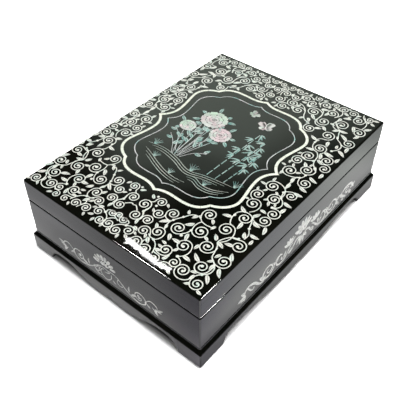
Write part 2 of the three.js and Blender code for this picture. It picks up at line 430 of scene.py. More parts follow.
# A mesh from points in millimetres, with doubles merged and faces turned outwards. Its map, where it has
# one, gives millimetres along each strip and the strip's number.
def makePiece(name, body, finish, points, faces, cut=None, stands=(), sharp=32.0):
    mesh = bpy.data.meshes.new(name)
    mesh.from_pydata((np.asarray(points) * mm).tolist(), [], faces)
    if cut is not None:
        corners = np.empty(len(mesh.loops), dtype=np.int32)
        mesh.loops.foreach_get("vertex_index", corners)
        layer = mesh.uv_layers.new(name="cut")
        layer.data.foreach_set("uv", np.asarray(cut, dtype=np.float32)[corners].ravel())
    tidy = bmesh.new()
    tidy.from_mesh(mesh)
    bmesh.ops.remove_doubles(tidy, verts=tidy.verts, dist=merging["doubles"])
    bmesh.ops.dissolve_degenerate(tidy, dist=merging["slivers"], edges=tidy.edges)
    bmesh.ops.recalc_face_normals(tidy, faces=tidy.faces)
    tidy.to_mesh(mesh)
    tidy.free()
    mesh.shade_smooth()
    mesh.set_sharp_from_angle(angle=math.radians(sharp))
    mesh.materials.append(finish)
    piece = bpy.data.objects.new(name, mesh)
    bpy.context.collection.objects.link(piece)
    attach(piece, body)
    if stands:
        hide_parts(*stands)
    return piece


# Quads of a grid of rows and columns whose columns close on themselves. A point's number = start + row
# times the count of columns + column.
def tubeQuads(rows, columns, start=0):
    row, column = np.meshgrid(np.arange(rows - 1), np.arange(columns), indexing="ij")
    after = (column + 1) % columns
    low, high = row * columns, (row + 1) * columns
    quads = [low + column, low + after, high + after, high + column]
    return (np.stack(quads, axis=-1).reshape(-1, 4) + start).tolist()


# A closed solid from a grid of sections: tube faces and a flat cap over the first and last section.
def cappedTube(grid):
    rows, columns = grid.shape[:2]
    first = list(range(columns))[::-1]
    last = list(range((rows - 1) * columns, rows * columns))
    return grid.reshape(-1, 3), tubeQuads(rows, columns) + [first, last]


# Points on a circle between two angles: centre + radius times (cosine, sine).
def arc(centre, radius, start, end, steps):
    angle = np.radians(np.linspace(start, end, steps + 1))
    return np.stack([centre[0] + radius * np.cos(angle), centre[1] + radius * np.sin(angle)], axis=-1)


# Rounds and upright corners, in steps and mm. The hold is how far past a round a flat has its next point.
edges = {"steps": 6, "hold": 0.7, "corner": 1.5, "cornerSteps": 7}


# Section of a board as depth from its face and height: a rectangle with each corner a quarter circle of
# its own radius, and a point held just past each round so the flats stay flat.
def easedSection(thickness, low, high, eases):
    corners = [(0, low, 1, 1), (0, high, 1, -1), (thickness, high, -1, -1), (thickness, low, -1, 1)]
    travel = [(-1, 0), (0, 1), (1, 0), (0, -1), (-1, 0)]
    rows = []
    for k, (depth, height, inward, upward) in enumerate(corners):
        ease = eases[k]
        centre = (depth + inward * ease, height + upward * ease)
        turned = arc(centre, ease, 270 - 90 * k, 180 - 90 * k, edges["steps"])
        before = turned[0] - np.array(travel[k]) * edges["hold"]
        after = turned[-1] + np.array(travel[k + 1]) * edges["hold"]
        rows.append(np.vstack([before, turned, after]))
    return np.vstack(rows)


# Plan of a mitred board: a point at distance s along the face and some depth behind it. The face runs
# straight and then turns an eighth of a circle to the mitre, and deeper lines turn on smaller circles.
def boardPlan(s, depth, halfRun, out, corner):
    reach = np.maximum(corner, depth)
    turned = np.clip((np.abs(s) - (halfRun - corner)) / corner, 0.0, math.pi / 4)
    curl = np.maximum(corner - depth, 0.0)
    x = np.sign(s) * (np.minimum(np.abs(s), halfRun - reach) + curl * np.sin(turned))
    y = reach - out - curl * np.cos(turned)
    return x, y


# Distances along a board's face: a held point, then even steps round the eighth of a circle to the mitre,
# and the same on the other side of the middle.
def boardStations(halfRun, corner):
    straight = halfRun - corner
    turning = straight + np.linspace(0, corner * math.pi / 4, edges["cornerSteps"])
    half = np.concatenate([[straight - edges["hold"]], turning])
    return np.concatenate([-half[::-1], half])


# Quarter turns that carry a front board to the right, the back and the left: (x, y) becomes (-y, x).
def turnTo(side, x, y, z):
    turned = [(x, y), (-y, x), (-x, -y), (y, -x)][side]
    return np.stack([turned[0], turned[1], np.broadcast_to(z, turned[0].shape)], axis=-1)


# A board of a mitred frame: its section at every station of its plan, carried to its side.
def frameBoard(side, halfX, halfY, corner, section):
    halfRun, out = [(halfX, halfY), (halfY, halfX)][side % 2]
    s = boardStations(halfRun, corner)[:, None]
    x, y = boardPlan(s, section[None, :, 0], halfRun, out, corner)
    x, y = np.broadcast_arrays(x, y)
    return cappedTube(turnTo(side, x, y, section[None, :, 1]))


sides = ["front", "right", "back", "left"]

seamGap = 0.3  # mm that the walls and the rim each stop short of the seam
boards = {
    "box_wall": {
        "thickness": 9.0, "eases": (0.25, 1.4, 0.3, 0.25), "low": floorTop, "high": seam - seamGap,
    },
    "lid_rim": {
        "thickness": 8.5, "eases": (1.5, 0.04, 0.04, 0.5), "low": seam + seamGap, "high": panelBottom,
    },
}
for stem, plan in boards.items():
    section = easedSection(plan["thickness"], plan["low"], plan["high"], plan["eases"])
    for side, place in enumerate(sides):
        points, faces = frameBoard(side, halfWidth, halfLength, edges["corner"], section)
        body = "lid" if stem == "lid_rim" else "box"
        name = f"{stem}_{place}"
        makePiece(f"{name}_board", body, lacquer, points, faces, stands=(name,))

liner = {
    "thickness": 3.0,
    "inset": boards["box_wall"]["thickness"],
    "rise": 7.0,
    "eases": (0.2, 0.9, 0.9, 0.2),
    "corner": 0.3,
}
section = easedSection(liner["thickness"], floorTop, seam + liner["rise"], liner["eases"])
for side, place in enumerate(sides):
    halfX, halfY = halfWidth - liner["inset"], halfLength - liner["inset"]
    points, faces = frameBoard(side, halfX, halfY, liner["corner"], section)
    name = f"liner_{place}"
    makePiece(f"{name}_board", "box", insideLacquer, points, faces, stands=(name,))
print("boards: walls, rim and liner")


# A rounded rectangle: four quarter circles joined by straights, with a point held past each round.
def roundedPlan(halfX, halfY, corner, steps):
    signs = [(1, 1), (-1, 1), (-1, -1), (1, -1)]
    arriving = np.array([(0, 1), (-1, 0), (0, -1), (1, 0)]) * edges["hold"]
    leaving = np.roll(arriving, -1, axis=0)
    rings = []
    for k, (signX, signY) in enumerate(signs):
        centre = (signX * (halfX - corner), signY * (halfY - corner))
        turned = arc(centre, corner, 90 * k, 90 * k + 90, steps)
        rings.append(np.vstack([turned[0] - arriving[k], turned, turned[-1] + leaving[k]]))
    return np.vstack(rings)


# A slab from pairs of a height and how far the plan is drawn in there, closed by flat caps.
def layeredSlab(halfX, halfY, corner, levels, steps=8):
    rings = []
    for height, inset in levels:
        ring = roundedPlan(halfX - inset, halfY - inset, corner, steps)
        rings.append(np.column_stack([ring, np.full(len(ring), height)]))
    return cappedTube(np.array(rings))


# Such pairs for a quarter round under a top face: both follow one circle.
def roundOver(top, radius, steps=9):
    turned = arc((radius, top - radius), radius, 180, 90, steps)
    return [(height, inset) for inset, height in turned]


panel = {"round": 1.5}
held = edges["hold"]
panelLevels = [(panelBottom, held), (panelBottom, 0.0), (lidTop - panel["round"] - held, 0.0)]
panelLevels += roundOver(lidTop, panel["round"])
panelLevels += [(lidTop, panel["round"] + held)]
points, faces = layeredSlab(halfWidth, halfLength, edges["corner"], panelLevels)
makePiece("lid_panel_board", "lid", lacquer, points, faces, stands=("lid_top_panel",))

# Moulding of the base board: a land, a slope and an upright quirk under the wall. The lower round gives
# heights from the land's top and how far they are drawn in, and the upper one heights from the quirk's
# foot and how far they still stand out from the wall.
plinth = {
    "land": 0.7,
    "quirk": 1.4,
    "projection": 3.5,
    "lowerRound": [(-0.25, 0.0), (0.0, 0.06), (0.2, 0.18), (0.5, 0.357), (0.9, 0.643)],
    "upperRound": [(-0.8, 0.571), (-0.35, 0.25), (0.0, 0.04), (0.25, 0.0)],
}
landTop = apronTop + plinth["land"]
quirkFoot = floorTop - plinth["quirk"]
plinthLevels = [(apronTop, held), (apronTop, 0.0)]
plinthLevels += [(landTop + up, inset) for up, inset in plinth["lowerRound"]]
plinthLevels += [(quirkFoot + up, plinth["projection"] - out) for up, out in plinth["upperRound"]]
plinthLevels += [(floorTop, plinth["projection"]), (floorTop, plinth["projection"] + held)]
points, faces = layeredSlab(baseHalfWidth, baseHalfLength, edges["corner"], plinthLevels)
makePiece("base_board_moulding", "box", lacquer, points, faces, stands=("base_board",))


# A cubic curve from p0 to p3 that sets off towards p1 and arrives from p2: the points weighted by
# (1 - t) cubed, 3 (1 - t) squared t, 3 (1 - t) t squared and t cubed.
def bezier(p0, p1, p2, p3, steps):
    t = np.linspace(0.0, 1.0, steps + 1)[:, None]
    p0, p1, p2, p3 = (np.asarray(p, dtype=float) for p in (p0, p1, p2, p3))
    return (1 - t) ** 3 * p0 + 3 * (1 - t) ** 2 * t * p1 + 3 * (1 - t) * t ** 2 * p2 + t ** 3 * p3


# Distances along an apron are from its outer corner (foot, crown) or from its middle (lobe).
aprons = {
    "thickness": 8.0,
    "ease": 0.8,
    "hold": 0.6,
    "footStart": 0.4,  # mm past the shoulder where the flat underside of a foot starts
    "tongueSteps": 14,
    "rampSteps": 22,
    "shoulderSteps": 17,
    "short": {"foot": 30.0, "crownAt": 50.0, "crown": 17.0, "lobeAt": 20.0, "lobe": 3.2, "cusp": 9.0},
    "long": {"foot": 37.5, "crownAt": 58.0, "crown": 16.5, "lobeAt": 19.0, "lobe": 5.0, "cusp": 10.0},
}


# Lower edge of an apron from end to end: foot, quarter ellipse, long slope, low lobe, and an upward cusp
# in the middle, mirrored.
def apronEdge(shape, halfRun, corner):
    footAt = halfRun - shape["foot"]
    crownAt = halfRun - shape["crownAt"]
    slope = (crownAt - shape["lobeAt"]) / 2
    lobeAt, lobe, crown = shape["lobeAt"], shape["lobe"], shape["crown"]
    tongue = [(0, shape["cusp"]), (lobeAt / 7, lobe + 1), (lobeAt / 2, lobe), (lobeAt, lobe)]
    tongue = bezier(*tongue, aprons["tongueSteps"])
    ramp = [(lobeAt, lobe), (lobeAt + slope, lobe), (crownAt - slope, crown), (crownAt, crown)]
    ramp = bezier(*ramp, aprons["rampSteps"])
    lowest = math.degrees(math.asin(padTop / crown))
    turn = np.radians(np.linspace(90.0, lowest, aprons["shoulderSteps"]))
    shoulder = np.column_stack([crownAt + (footAt - crownAt) * np.cos(turn), crown * np.sin(turn)])
    straight = halfRun - corner
    along = np.concatenate([
        [shoulder[-1, 0] + 2 * aprons["ease"], straight - edges["hold"]],
        straight + np.linspace(0, corner * math.pi / 4, edges["cornerSteps"]),
    ])
    foot = np.column_stack([along, np.full(len(along), padTop)])
    half = np.vstack([tongue, ramp[1:], shoulder[1:], foot])
    other = half[:0:-1] * np.array([-1.0, 1.0])
    return np.vstack([other, half])


# An apron board: for each point of its lower edge, a section from the underside over a small round to the
# face and up to the base board. The round stands off the edge along the edge's own normal.
def apronBoard(side):
    turned = side % 2
    halfRun, out = [(baseHalfWidth, baseHalfLength), (baseHalfLength, baseHalfWidth)][turned]
    shape = aprons["long"] if turned else aprons["short"]
    edge = apronEdge(shape, halfRun, edges["corner"])
    tangent = np.gradient(edge, axis=0)
    tangent /= np.linalg.norm(tangent, axis=1)[:, None]
    normal = np.column_stack([-tangent[:, 1], tangent[:, 0]])
    flatFoot = np.abs(edge[:, 0]) > halfRun - shape["foot"] + aprons["footStart"]
    normal[flatFoot] = (0.0, 1.0)
    ease, thickness = aprons["ease"], aprons["thickness"]
    turn = np.radians(np.linspace(0.0, 90.0, edges["steps"]))
    past = ease + aprons["hold"]
    offset = np.concatenate([[0.0], ease - ease * np.cos(turn), [past]])
    depth = np.concatenate([[past], ease - ease * np.sin(turn), [0.0]])
    offset = np.concatenate([offset, [0, 0], offset[::-1]])
    depth = np.concatenate([depth, [0, 0], thickness - depth[::-1]])
    raised = len(turn) + 2
    s = edge[:, :1] + normal[:, :1] * offset[None, :]
    z = edge[:, 1:] + normal[:, 1:] * offset[None, :]
    s[:, raised:raised + 2] = edge[:, :1]
    z[:, raised:raised + 2] = apronTop
    depths = np.broadcast_to(depth, s.shape).copy()
    depths[:, raised] = 0.0
    depths[:, raised + 1] = thickness
    s = np.clip(s, edge[0, 0], edge[-1, 0])
    x, y = boardPlan(s, depths, halfRun, out, edges["corner"])
    return cappedTube(turnTo(side, x, y, z))


for side, place in enumerate(sides):
    points, faces = apronBoard(side)
    name = f"apron_{place}"
    makePiece(f"{name}_board", "box", lacquer, points, faces, stands=(name,), sharp=40.0)
print("boards: lid panel, base moulding and aprons")

# Lining boards faced with cloth
linings = {
    "clearance": 0.5,
    "thickness": 1.5,
    "roll": 0.6,  # radius of the cloth's turn over the rim
    "puff": 0.12,
    "rim": 0.1,  # width that doesn't swell
    "points": 61,
    "waves": (5.1, 6.7, 11.3, 4.0, 1.3),
}


# A glued cloth board. Its face is the thickness, less the quarter round at the rim, less the puff times
# one and half the wave: sin(ax + e) sin(by) + sin(cy + dx), with x and y from -1 to 1.
def liningPad(halfX, halfY, low, up):
    count = linings["points"]
    x = np.linspace(-1, 1, count)[:, None] * np.ones((1, count))
    y = np.ones((count, 1)) * np.linspace(-1, 1, count)[None, :]
    rim = np.minimum((1 - np.abs(x)) * halfX, (1 - np.abs(y)) * halfY)
    roll = np.sqrt(np.clip(1 - (1 - np.clip(rim / linings["roll"], 0, 1)) ** 2, 0, 1))
    a, b, c, d, e = linings["waves"]
    wave = np.sin(a * x + e) * np.sin(b * y) + np.sin(c * y + d * x)
    face = linings["thickness"] - linings["roll"] * (1 - roll)
    face = face - linings["puff"] * (1 + wave / 2) * (rim > linings["rim"])
    top = np.stack([x * halfX, y * halfY, face], axis=-1).reshape(-1, 3)
    floor = np.stack([x * halfX, y * halfY, np.zeros_like(x)], axis=-1).reshape(-1, 3)
    row, column = np.meshgrid(np.arange(count - 1), np.arange(count - 1), indexing="ij")
    here, beyond = row * count + column, (row + 1) * count + column
    quads = np.stack([here, beyond, beyond + 1, here + 1], axis=-1).reshape(-1, 4)
    edge = np.concatenate([
        np.arange(count), np.arange(1, count) * count + count - 1,
        np.arange(count - 2, -1, -1) + (count - 1) * count, np.arange(count - 2, 0, -1) * count,
    ])
    after = np.roll(edge, -1)
    skirt = np.stack([edge, after, after + count * count, edge + count * count], axis=-1)
    points = np.vstack([top, floor])
    points[:, 2] = low + points[:, 2] if up else low + linings["thickness"] - points[:, 2]
    return points, quads.tolist() + (quads[:, ::-1] + count * count).tolist() + skirt.tolist()


# How far the linings stay inside the outside of the box, in mm.
inner = {
    "floor": liner["inset"] + liner["thickness"] + linings["clearance"],
    "lid": boards["lid_rim"]["thickness"] + linings["clearance"],
}
points, faces = liningPad(halfWidth - inner["floor"], halfLength - inner["floor"], floorTop, True)
makePiece("floor_lining_cloth", "box", liningCloth, points, faces, stands=("floor_lining",))
points, faces = liningPad(
    halfWidth - inner["lid"], halfLength - inner["lid"], panelBottom - linings["thickness"], False,
)
makePiece("lid_lining_cloth", "lid", liningCloth, points, faces, stands=("lid_lining",))

# Pads and blocks. Levels are heights and how far the plan is drawn in there.
feet = {
    "foot_pad": {
        "made": "felt", "slot": "foot_felt", "finish": footFelt, "sharp": 32.0,
        "side": 14.0, "inset": 1.5, "corner": 2.0, "steps": 5,
        "levels": [(0.0, 0.5), (0.02, 0.2), (0.3, 0.0), (padTop - 0.2, 0.0), (padTop, 0.2)],
    },
    "corner_block": {
        "made": "wood", "slot": "bare_wood", "finish": bareWood, "sharp": 25.0,
        "side": 16.0, "inset": aprons["thickness"], "corner": 0.6, "steps": 2,
        "levels": [(padTop, 0.8), (padTop + 0.8, 0.0), (apronTop - 0.1, 0.0), (apronTop, 0.1)],
    },
}
baseHalf = np.array([baseHalfWidth, baseHalfLength, 0.0])
for along, signY in (("front", -1), ("back", 1)):
    for across, signX in (("left", -1), ("right", 1)):
        for stem, plan in feet.items():
            half = plan["side"] / 2
            points, faces = layeredSlab(half, half, plan["corner"], plan["levels"], plan["steps"])
            points = points + np.array([signX, signY, 0]) * (baseHalf - plan["inset"] - half)
            name = f"{stem}_{along}_{across}"
            makePiece(
                f"{name}_{plan['made']}", "box", plan["finish"], points, faces,
                stands=(name,), sharp=plan["sharp"],
            )
print("linings, pads and blocks")

# Shell inlay. A piece is drawn flat, as sideways and upwards on the face that carries it, and let in.
inlay = {
    "proud": 0.04,
    "sunk": 0.12,
    "spread": 0.015,  # mm that one strip may stand higher than another
    "stagger": 0.618,  # steps from strip to strip: of that height, of the number, and its start
    "step": 0.754877,
    "start": 0.13,
    "setStep": 0.377,  # and of the number from one set of strips to the next
    "spanSteps": 12,
    "beadSides": 10,
    "shortest": 1e-9,  # keeps a line with two equal points from dividing by nothing
    "sharp": 30.0,
}


# From (sideways, upwards, height above the face) to a place on the lid or on one of the four walls.
def onFace(face, flat):
    a, b, h = flat[..., 0], flat[..., 1], flat[..., 2]
    if face == "lid":
        return np.stack([a, b, lidTop + h], axis=-1)
    side = sides.index(face)
    out = [halfLength, halfWidth][side % 2]
    return turnTo(side, a, -out - h, b)


# Strips of shell: centre lines as (strip, station, 2) and widths as (strip, station). Each station has a
# section of four points, and each strip stands a hair's breadth higher or lower than the next. Its edges
# are the centre line plus and less half the width along the line's normal.
def shellStrips(centres, widths, lift=0.0):
    centres = np.asarray(centres, dtype=float)
    tangent = np.gradient(centres, axis=1)
    tangent /= np.maximum(np.linalg.norm(tangent, axis=2), inlay["shortest"])[..., None]
    normal = np.stack([-tangent[..., 1], tangent[..., 0]], axis=-1)
    half = np.asarray(widths, dtype=float)[..., None] / 2
    return shellBands(centres + normal * half, centres - normal * half, lift)


# The same from the two edges of each strip. Height, like the strip's number, is the strip's place in the
# row times a step, less the whole part.
def shellBands(left, right, lift=0.0):
    count, stations = left.shape[:2]
    top = inlay["proud"] + lift + inlay["spread"] * (np.arange(count) * inlay["stagger"] % 1.0)
    top = np.broadcast_to(top[:, None, None], (count, stations, 1))
    low = np.full((count, stations, 1), -inlay["sunk"])
    sections = np.stack([
        np.concatenate([left, top], axis=-1), np.concatenate([right, top], axis=-1),
        np.concatenate([right, low], axis=-1), np.concatenate([left, low], axis=-1),
    ], axis=2)
    step = np.linalg.norm(np.diff((left + right) / 2, axis=1), axis=-1)
    along = np.concatenate([np.zeros((count, 1)), np.cumsum(step, axis=1)], axis=1)
    number = (np.arange(count) * inlay["step"] + inlay["start"]) % 1.0
    cut = np.stack([along, np.broadcast_to(number[:, None], along.shape)], axis=-1)
    cut = np.repeat(cut[:, :, None, :], 4, axis=2).reshape(-1, 2)
    tube = np.array(tubeQuads(stations, 4))
    last = (stations - 1) * 4
    caps = np.array([[3, 2, 1, 0], [last, last + 1, last + 2, last + 3]])
    quads = np.vstack([tube, caps])
    faces = (quads[None] + (np.arange(count) * stations * 4)[:, None, None]).reshape(-1, 4)
    return sections.reshape(-1, 3), faces, cut


# Round beads: prisms with a few sides, each a strip whose two edges are the halves of its outline.
def shellDots(places, radii, lift=0.0):
    places = np.asarray(places, dtype=float)
    radii = np.asarray(radii, dtype=float)
    count = inlay["beadSides"]
    turn = np.linspace(0, 2 * math.pi, count, endpoint=False)
    ring = np.stack([np.cos(turn), np.sin(turn)], axis=-1)
    flat = places[:, None, :] + ring[None] * radii[:, None, None]
    other = np.roll(flat, -1, axis=1)[:, ::-1]
    reach = count // 2 + 1
    return shellBands(flat[:, :reach], other[:, :reach], lift)


# Several sets of strips as one mesh: points and faces are numbered on, and so are the strips.
def gatherShell(parts):
    points, faces, cuts = [], [], []
    start = 0
    for part in parts:
        points.append(part[0])
        faces.append(part[1] + start)
        cuts.append(part[2] + np.array([0.0, len(cuts) * inlay["setStep"]]))
        start += len(part[0])
    return np.vstack(points), np.vstack(faces), np.vstack(cuts)


# One piece of shell work, let into a face and moving with the body that the face belongs to.
def makeInlay(name, face, finish, parts):
    flat, faces, cut = gatherShell(parts)
    points = onFace(face, flat)
    body = "lid" if face == "lid" else "box"
    return makePiece(name, body, finish, points, faces.tolist(), cut, sharp=inlay["sharp"])


# A smooth line through given points, at even steps: each span is a cubic whose slopes are half the
# chord between its neighbours.
def smoothLine(way, stations):
    way = np.asarray(way, dtype=float)
    slope = np.gradient(way, axis=0)
    after, before = way + slope / 3, way - slope / 3
    pieces = [
        bezier(way[k], after[k], before[k + 1], way[k + 1], inlay["spanSteps"])[:-1]
        for k in range(len(way) - 1)
    ]
    return evenSteps(np.vstack(pieces + [way[-1:]]), stations)


# The same line with its points at equal distances along it.
def evenSteps(line, stations):
    gone = np.concatenate([[0.0], np.cumsum(np.linalg.norm(np.diff(line, axis=0), axis=1))])
    at = np.linspace(0.0, gone[-1], stations)
    return np.column_stack([np.interp(at, gone, line[:, 0]), np.interp(at, gone, line[:, 1])])


scrollShape = {
    "eye": 0.13,  # share of the radius at which the line starts
    "opening": 0.85,  # power of the growth
    "coilSteps": 60,
    "tailSteps": 16,
    "pull": 0.36,  # share of the chord that the tail's curve reaches out, and what a sharp turn adds
    "turnPull": 0.22,
    "sharpest": -0.98,
}


# A scroll: its radius = the eye's + the rest times the share of the way to a power, over some turns. It
# leaves at an angle, and runs on in an arc to where it joins its neighbour.
def scrollLine(x, y, radius, turns, leaving, hand, joinX, joinY, stations=64):
    eye = scrollShape["eye"] * radius
    share = np.linspace(0.0, 1.0, scrollShape["coilSteps"])
    angle = math.radians(leaving) - hand * 2 * math.pi * turns * (1 - share)
    reach = eye + (radius - eye) * share ** scrollShape["opening"]
    coil = np.column_stack([x + reach * np.cos(angle), y + reach * np.sin(angle)])
    out = coil[-1] - coil[-2]
    out /= np.linalg.norm(out)
    join = (joinX, joinY)
    chord = np.array(join) - coil[-1]
    length = np.linalg.norm(chord)
    unit = chord / length
    arrive = 2 * unit.dot(out) * unit - out
    bend = math.acos(max(scrollShape["sharpest"], min(1.0, unit.dot(out))))
    pull = length * (scrollShape["pull"] + scrollShape["turnPull"] * (1 - math.cos(bend)))
    tail = bezier(coil[-1], coil[-1] + out * pull, join - arrive * pull, join, scrollShape["tailSteps"])
    return evenSteps(np.vstack([coil, tail[1:]]), stations)


leafShape = {
    "belly": 0.62,  # powers that draw the leaf in at its base and at its tip
    "tip": 0.85,
    "start": 0.02,
    "fullness": 2.62,  # makes the widest place as wide as asked
    "bow": 0.6,
    "cut": (0.5, 0.01),  # most of the cut: share of the half width, and mm on top
    "lift": 0.004,
}


# Leaves as two halves either side of a cut midrib. Width = the share of the way to one power, times what is
# left of it to another, and the midrib bows to the left and right in turn.
def leafHalves(bases, tips, widths, stations=7, rib=0.32, bend=0.10):
    bases, tips = np.asarray(bases, dtype=float), np.asarray(tips, dtype=float)
    run = (tips - bases)[:, None, :]
    length = np.linalg.norm(run, axis=-1, keepdims=True)
    across = np.stack([-run[..., 1], run[..., 0]], axis=-1)
    across = across / np.linalg.norm(across, axis=-1, keepdims=True)
    share = np.linspace(0.0, 1.0, stations)[None, :, None]
    swing = np.where(np.arange(len(bases)) % 2 == 0, 1.0, -1.0)[:, None, None] * bend
    bowed = across * swing * length * (share * (1 - share) * 4 - share) * leafShape["bow"]
    middle = bases[:, None, :] + run * share + bowed
    belly = (share + leafShape["start"]) ** leafShape["belly"] * (1.0 - share) ** leafShape["tip"]
    half = belly * leafShape["fullness"] * np.asarray(widths, dtype=float)[:, None, None] / 2
    part, extra = leafShape["cut"]
    gap = np.minimum(rib / 2, half * part + extra)
    left = shellBands(middle + across * half, middle + across * gap)
    right = shellBands(middle - across * gap, middle - across * half, leafShape["lift"])
    return [left, right]


# Scrolls of the right half of the lid: x, y, radius, turns, angle where the line leaves, hand, and the
# point that it runs on to. The left half is the same drawing turned over.
scrolls = [
    (14.1, -102.3, 5.9, 2.0, 195, 1, 5.0, -108.5),
    (2.4, -115.2, 6.8, 2.1, -5, -1, 8.7, -123.6),
    (5.8, -132.3, 6.4, 2.1, 15, 1, 8.7, -123.6),
    (20.3, -130.2, 6.2, 2.1, 185, 1, 13.3, -133.0),
    (22.8, -116.0, 6.0, 2.0, -5, 1, 28.6, -111.0),
    (34.5, -107.0, 6.3, 2.0, 200, 1, 38.8, -116.0),
    (51.6, -118.2, 7.6, 2.2, -35, 1, 63.3, -112.7),
    (71.6, -107.8, 8.4, 2.2, 185, -1, 64.1, -96.9),
    (64.0, -84.3, 7.2, 2.1, 205, 1, 64.1, -96.9),
    (89.2, -89.6, 8.2, 2.2, 20, -1, 93.3, -108.2),
    (112.4, -99.8, 7.6, 2.1, 120, 1, 99.5, -94.8),
    (89.1, -119.0, 7.8, 2.2, -15, 1, 97.8, -114.0),
    (113.3, -124.0, 7.4, 2.1, 255, -1, 101.2, -126.5),
    (71.2, -132.8, 7.6, 2.1, 20, -1, 75.3, -146.7),
    (39.5, -135.2, 6.8, 2.0, 0, -1, 43.0, -145.5),
    (27.4, -142.8, 6.2, 2.0, 30, -1, 37.4, -144.8),
    (61.2, -147.8, 6.8, 2.1, 265, -1, 49.1, -149.4),
    (101.2, -141.9, 7.6, 2.1, 0, 1, 107.0, -130.7),
    (2.2, -145.2, 4.4, 1.7, 200, -1, 8.5, -148.0),
    (15.8, -152.8, 5.8, 1.9, 130, 1, 7.5, -148.5),
    (77.8, -154.4, 5.7, 1.9, 75, 1, 75.3, -146.7),
    (90.3, -156.3, 6.8, 2.1, 200, 1, 102.0, -157.5),
    (110.8, -160.3, 6.6, 2.1, 190, -1, 107.4, -149.0),
    (5.6, -160.4, 5.8, 2.0, 150, -1, 9.5, -149.5),
    (30.6, -158.0, 6.0, 2.0, 20, -1, 39.5, -163.5),
    (45.0, -159.8, 5.6, 1.8, 150, 1, 38.5, -151.0),
    (59.6, -162.4, 4.9, 1.7, 100, 1, 52.5, -156.5),
    (72.8, -163.8, 4.6, 1.7, 90, -1, 80.0, -160.0),
    (88.1, -7.9, 7.8, 2.2, 80, -1, 105.2, -17.5),
    (111.8, -8.8, 6.2, 2.0, 130, 1, 101.8, -7.5),
    (101.0, -23.8, 7.0, 2.1, 130, -1, 105.2, -17.5),
    (83.1, -27.9, 6.6, 2.0, 215, 1, 84.5, -37.0),
    (87.7, -42.9, 7.8, 2.1, 0, -1, 91.8, -55.4),
    (112.7, -42.5, 7.2, 2.1, 115, 1, 106.5, -34.5),
    (111.4, -55.8, 6.8, 2.0, 270, -1, 98.5, -59.2),
    (93.9, -65.4, 7.2, 2.1, 95, 1, 82.5, -68.0),
    (111.8, 17.3, 7.0, 2.1, 190, -1, 102.7, 21.7),
    (62.3, 104.0, 6.8, 2.1, 170, -1, 57.5, 112.0),
    (87.0, 105.4, 8.0, 2.2, 270, -1, 82.0, 87.0),
    (113.4, 107.0, 7.4, 2.1, 250, -1, 106.0, 101.7),
    (92.7, 79.2, 6.8, 2.1, 0, -1, 97.5, 71.0),
    (89.3, 59.6, 7.6, 2.2, -50, 1, 99.5, 57.5),
    (83.9, 45.8, 6.4, 2.0, 120, -1, 90.0, 52.0),
    (110.2, 64.6, 7.0, 2.1, 95, 1, 100.2, 75.4),
    (115.2, 51.2, 6.8, 2.0, 135, 1, 108.0, 58.0),
    (101.8, 37.5, 7.2, 2.1, -45, 1, 105.5, 46.0),
    (87.7, 25.4, 8.0, 2.2, -75, 1, 102.7, 21.7),
    (112.4, 132.8, 7.4, 2.1, 110, 1, 101.2, 139.0),
    (89.1, 133.6, 8.2, 2.2, 180, 1, 92.8, 122.3),
    (68.3, 126.0, 7.6, 2.1, 170, -1, 60.5, 133.0),
    (48.7, 135.7, 7.6, 2.1, 70, -1, 60.3, 130.7),
    (31.6, 126.0, 6.8, 2.0, 60, -1, 40.0, 129.5),
    (11.6, 121.2, 6.6, 2.0, 110, -1, 18.0, 127.5),
    (19.0, 134.5, 6.4, 2.0, 200, -1, 12.0, 140.0),
    (1.0, 131.8, 6.2, 2.0, 60, 1, 7.0, 139.5),
    (15.4, 147.0, 5.4, 1.9, 0, 1, 22.0, 151.0),
    (1.4, 147.0, 5.6, 1.9, 190, 1, -3.0, 139.0),
    (27.0, 154.6, 5.8, 1.9, 90, -1, 34.0, 158.0),
    (38.6, 149.4, 6.0, 1.9, -60, 1, 46.0, 147.5),
    (68.3, 146.8, 6.4, 2.0, 30, -1, 75.0, 141.5),
    (100.3, 153.6, 6.6, 2.0, 0, 1, 108.0, 158.5),
    (75.8, 162.8, 5.4, 1.8, 200, 1, 72.5, 157.5),
    (110.0, 163.6, 5.0, 1.9, 200, -1, 102.5, 165.0),
    (88.6, 162.6, 5.4, 1.8, 10, -1, 94.5, 156.0),
    (53.0, 157.2, 6.0, 1.9, 200, 1, 50.0, 149.0),
    (13.6, 161.4, 5.2, 1.8, 20, 1, 21.0, 163.5),
    (0.6, 162.0, 5.0, 1.8, 190, -1, -2.5, 155.0),
    (40.0, 163.4, 4.6, 1.7, 170, -1, 34.0, 166.0),
    (63.6, 163.8, 4.4, 1.7, 200, 1, 58.0, 164.0),
]

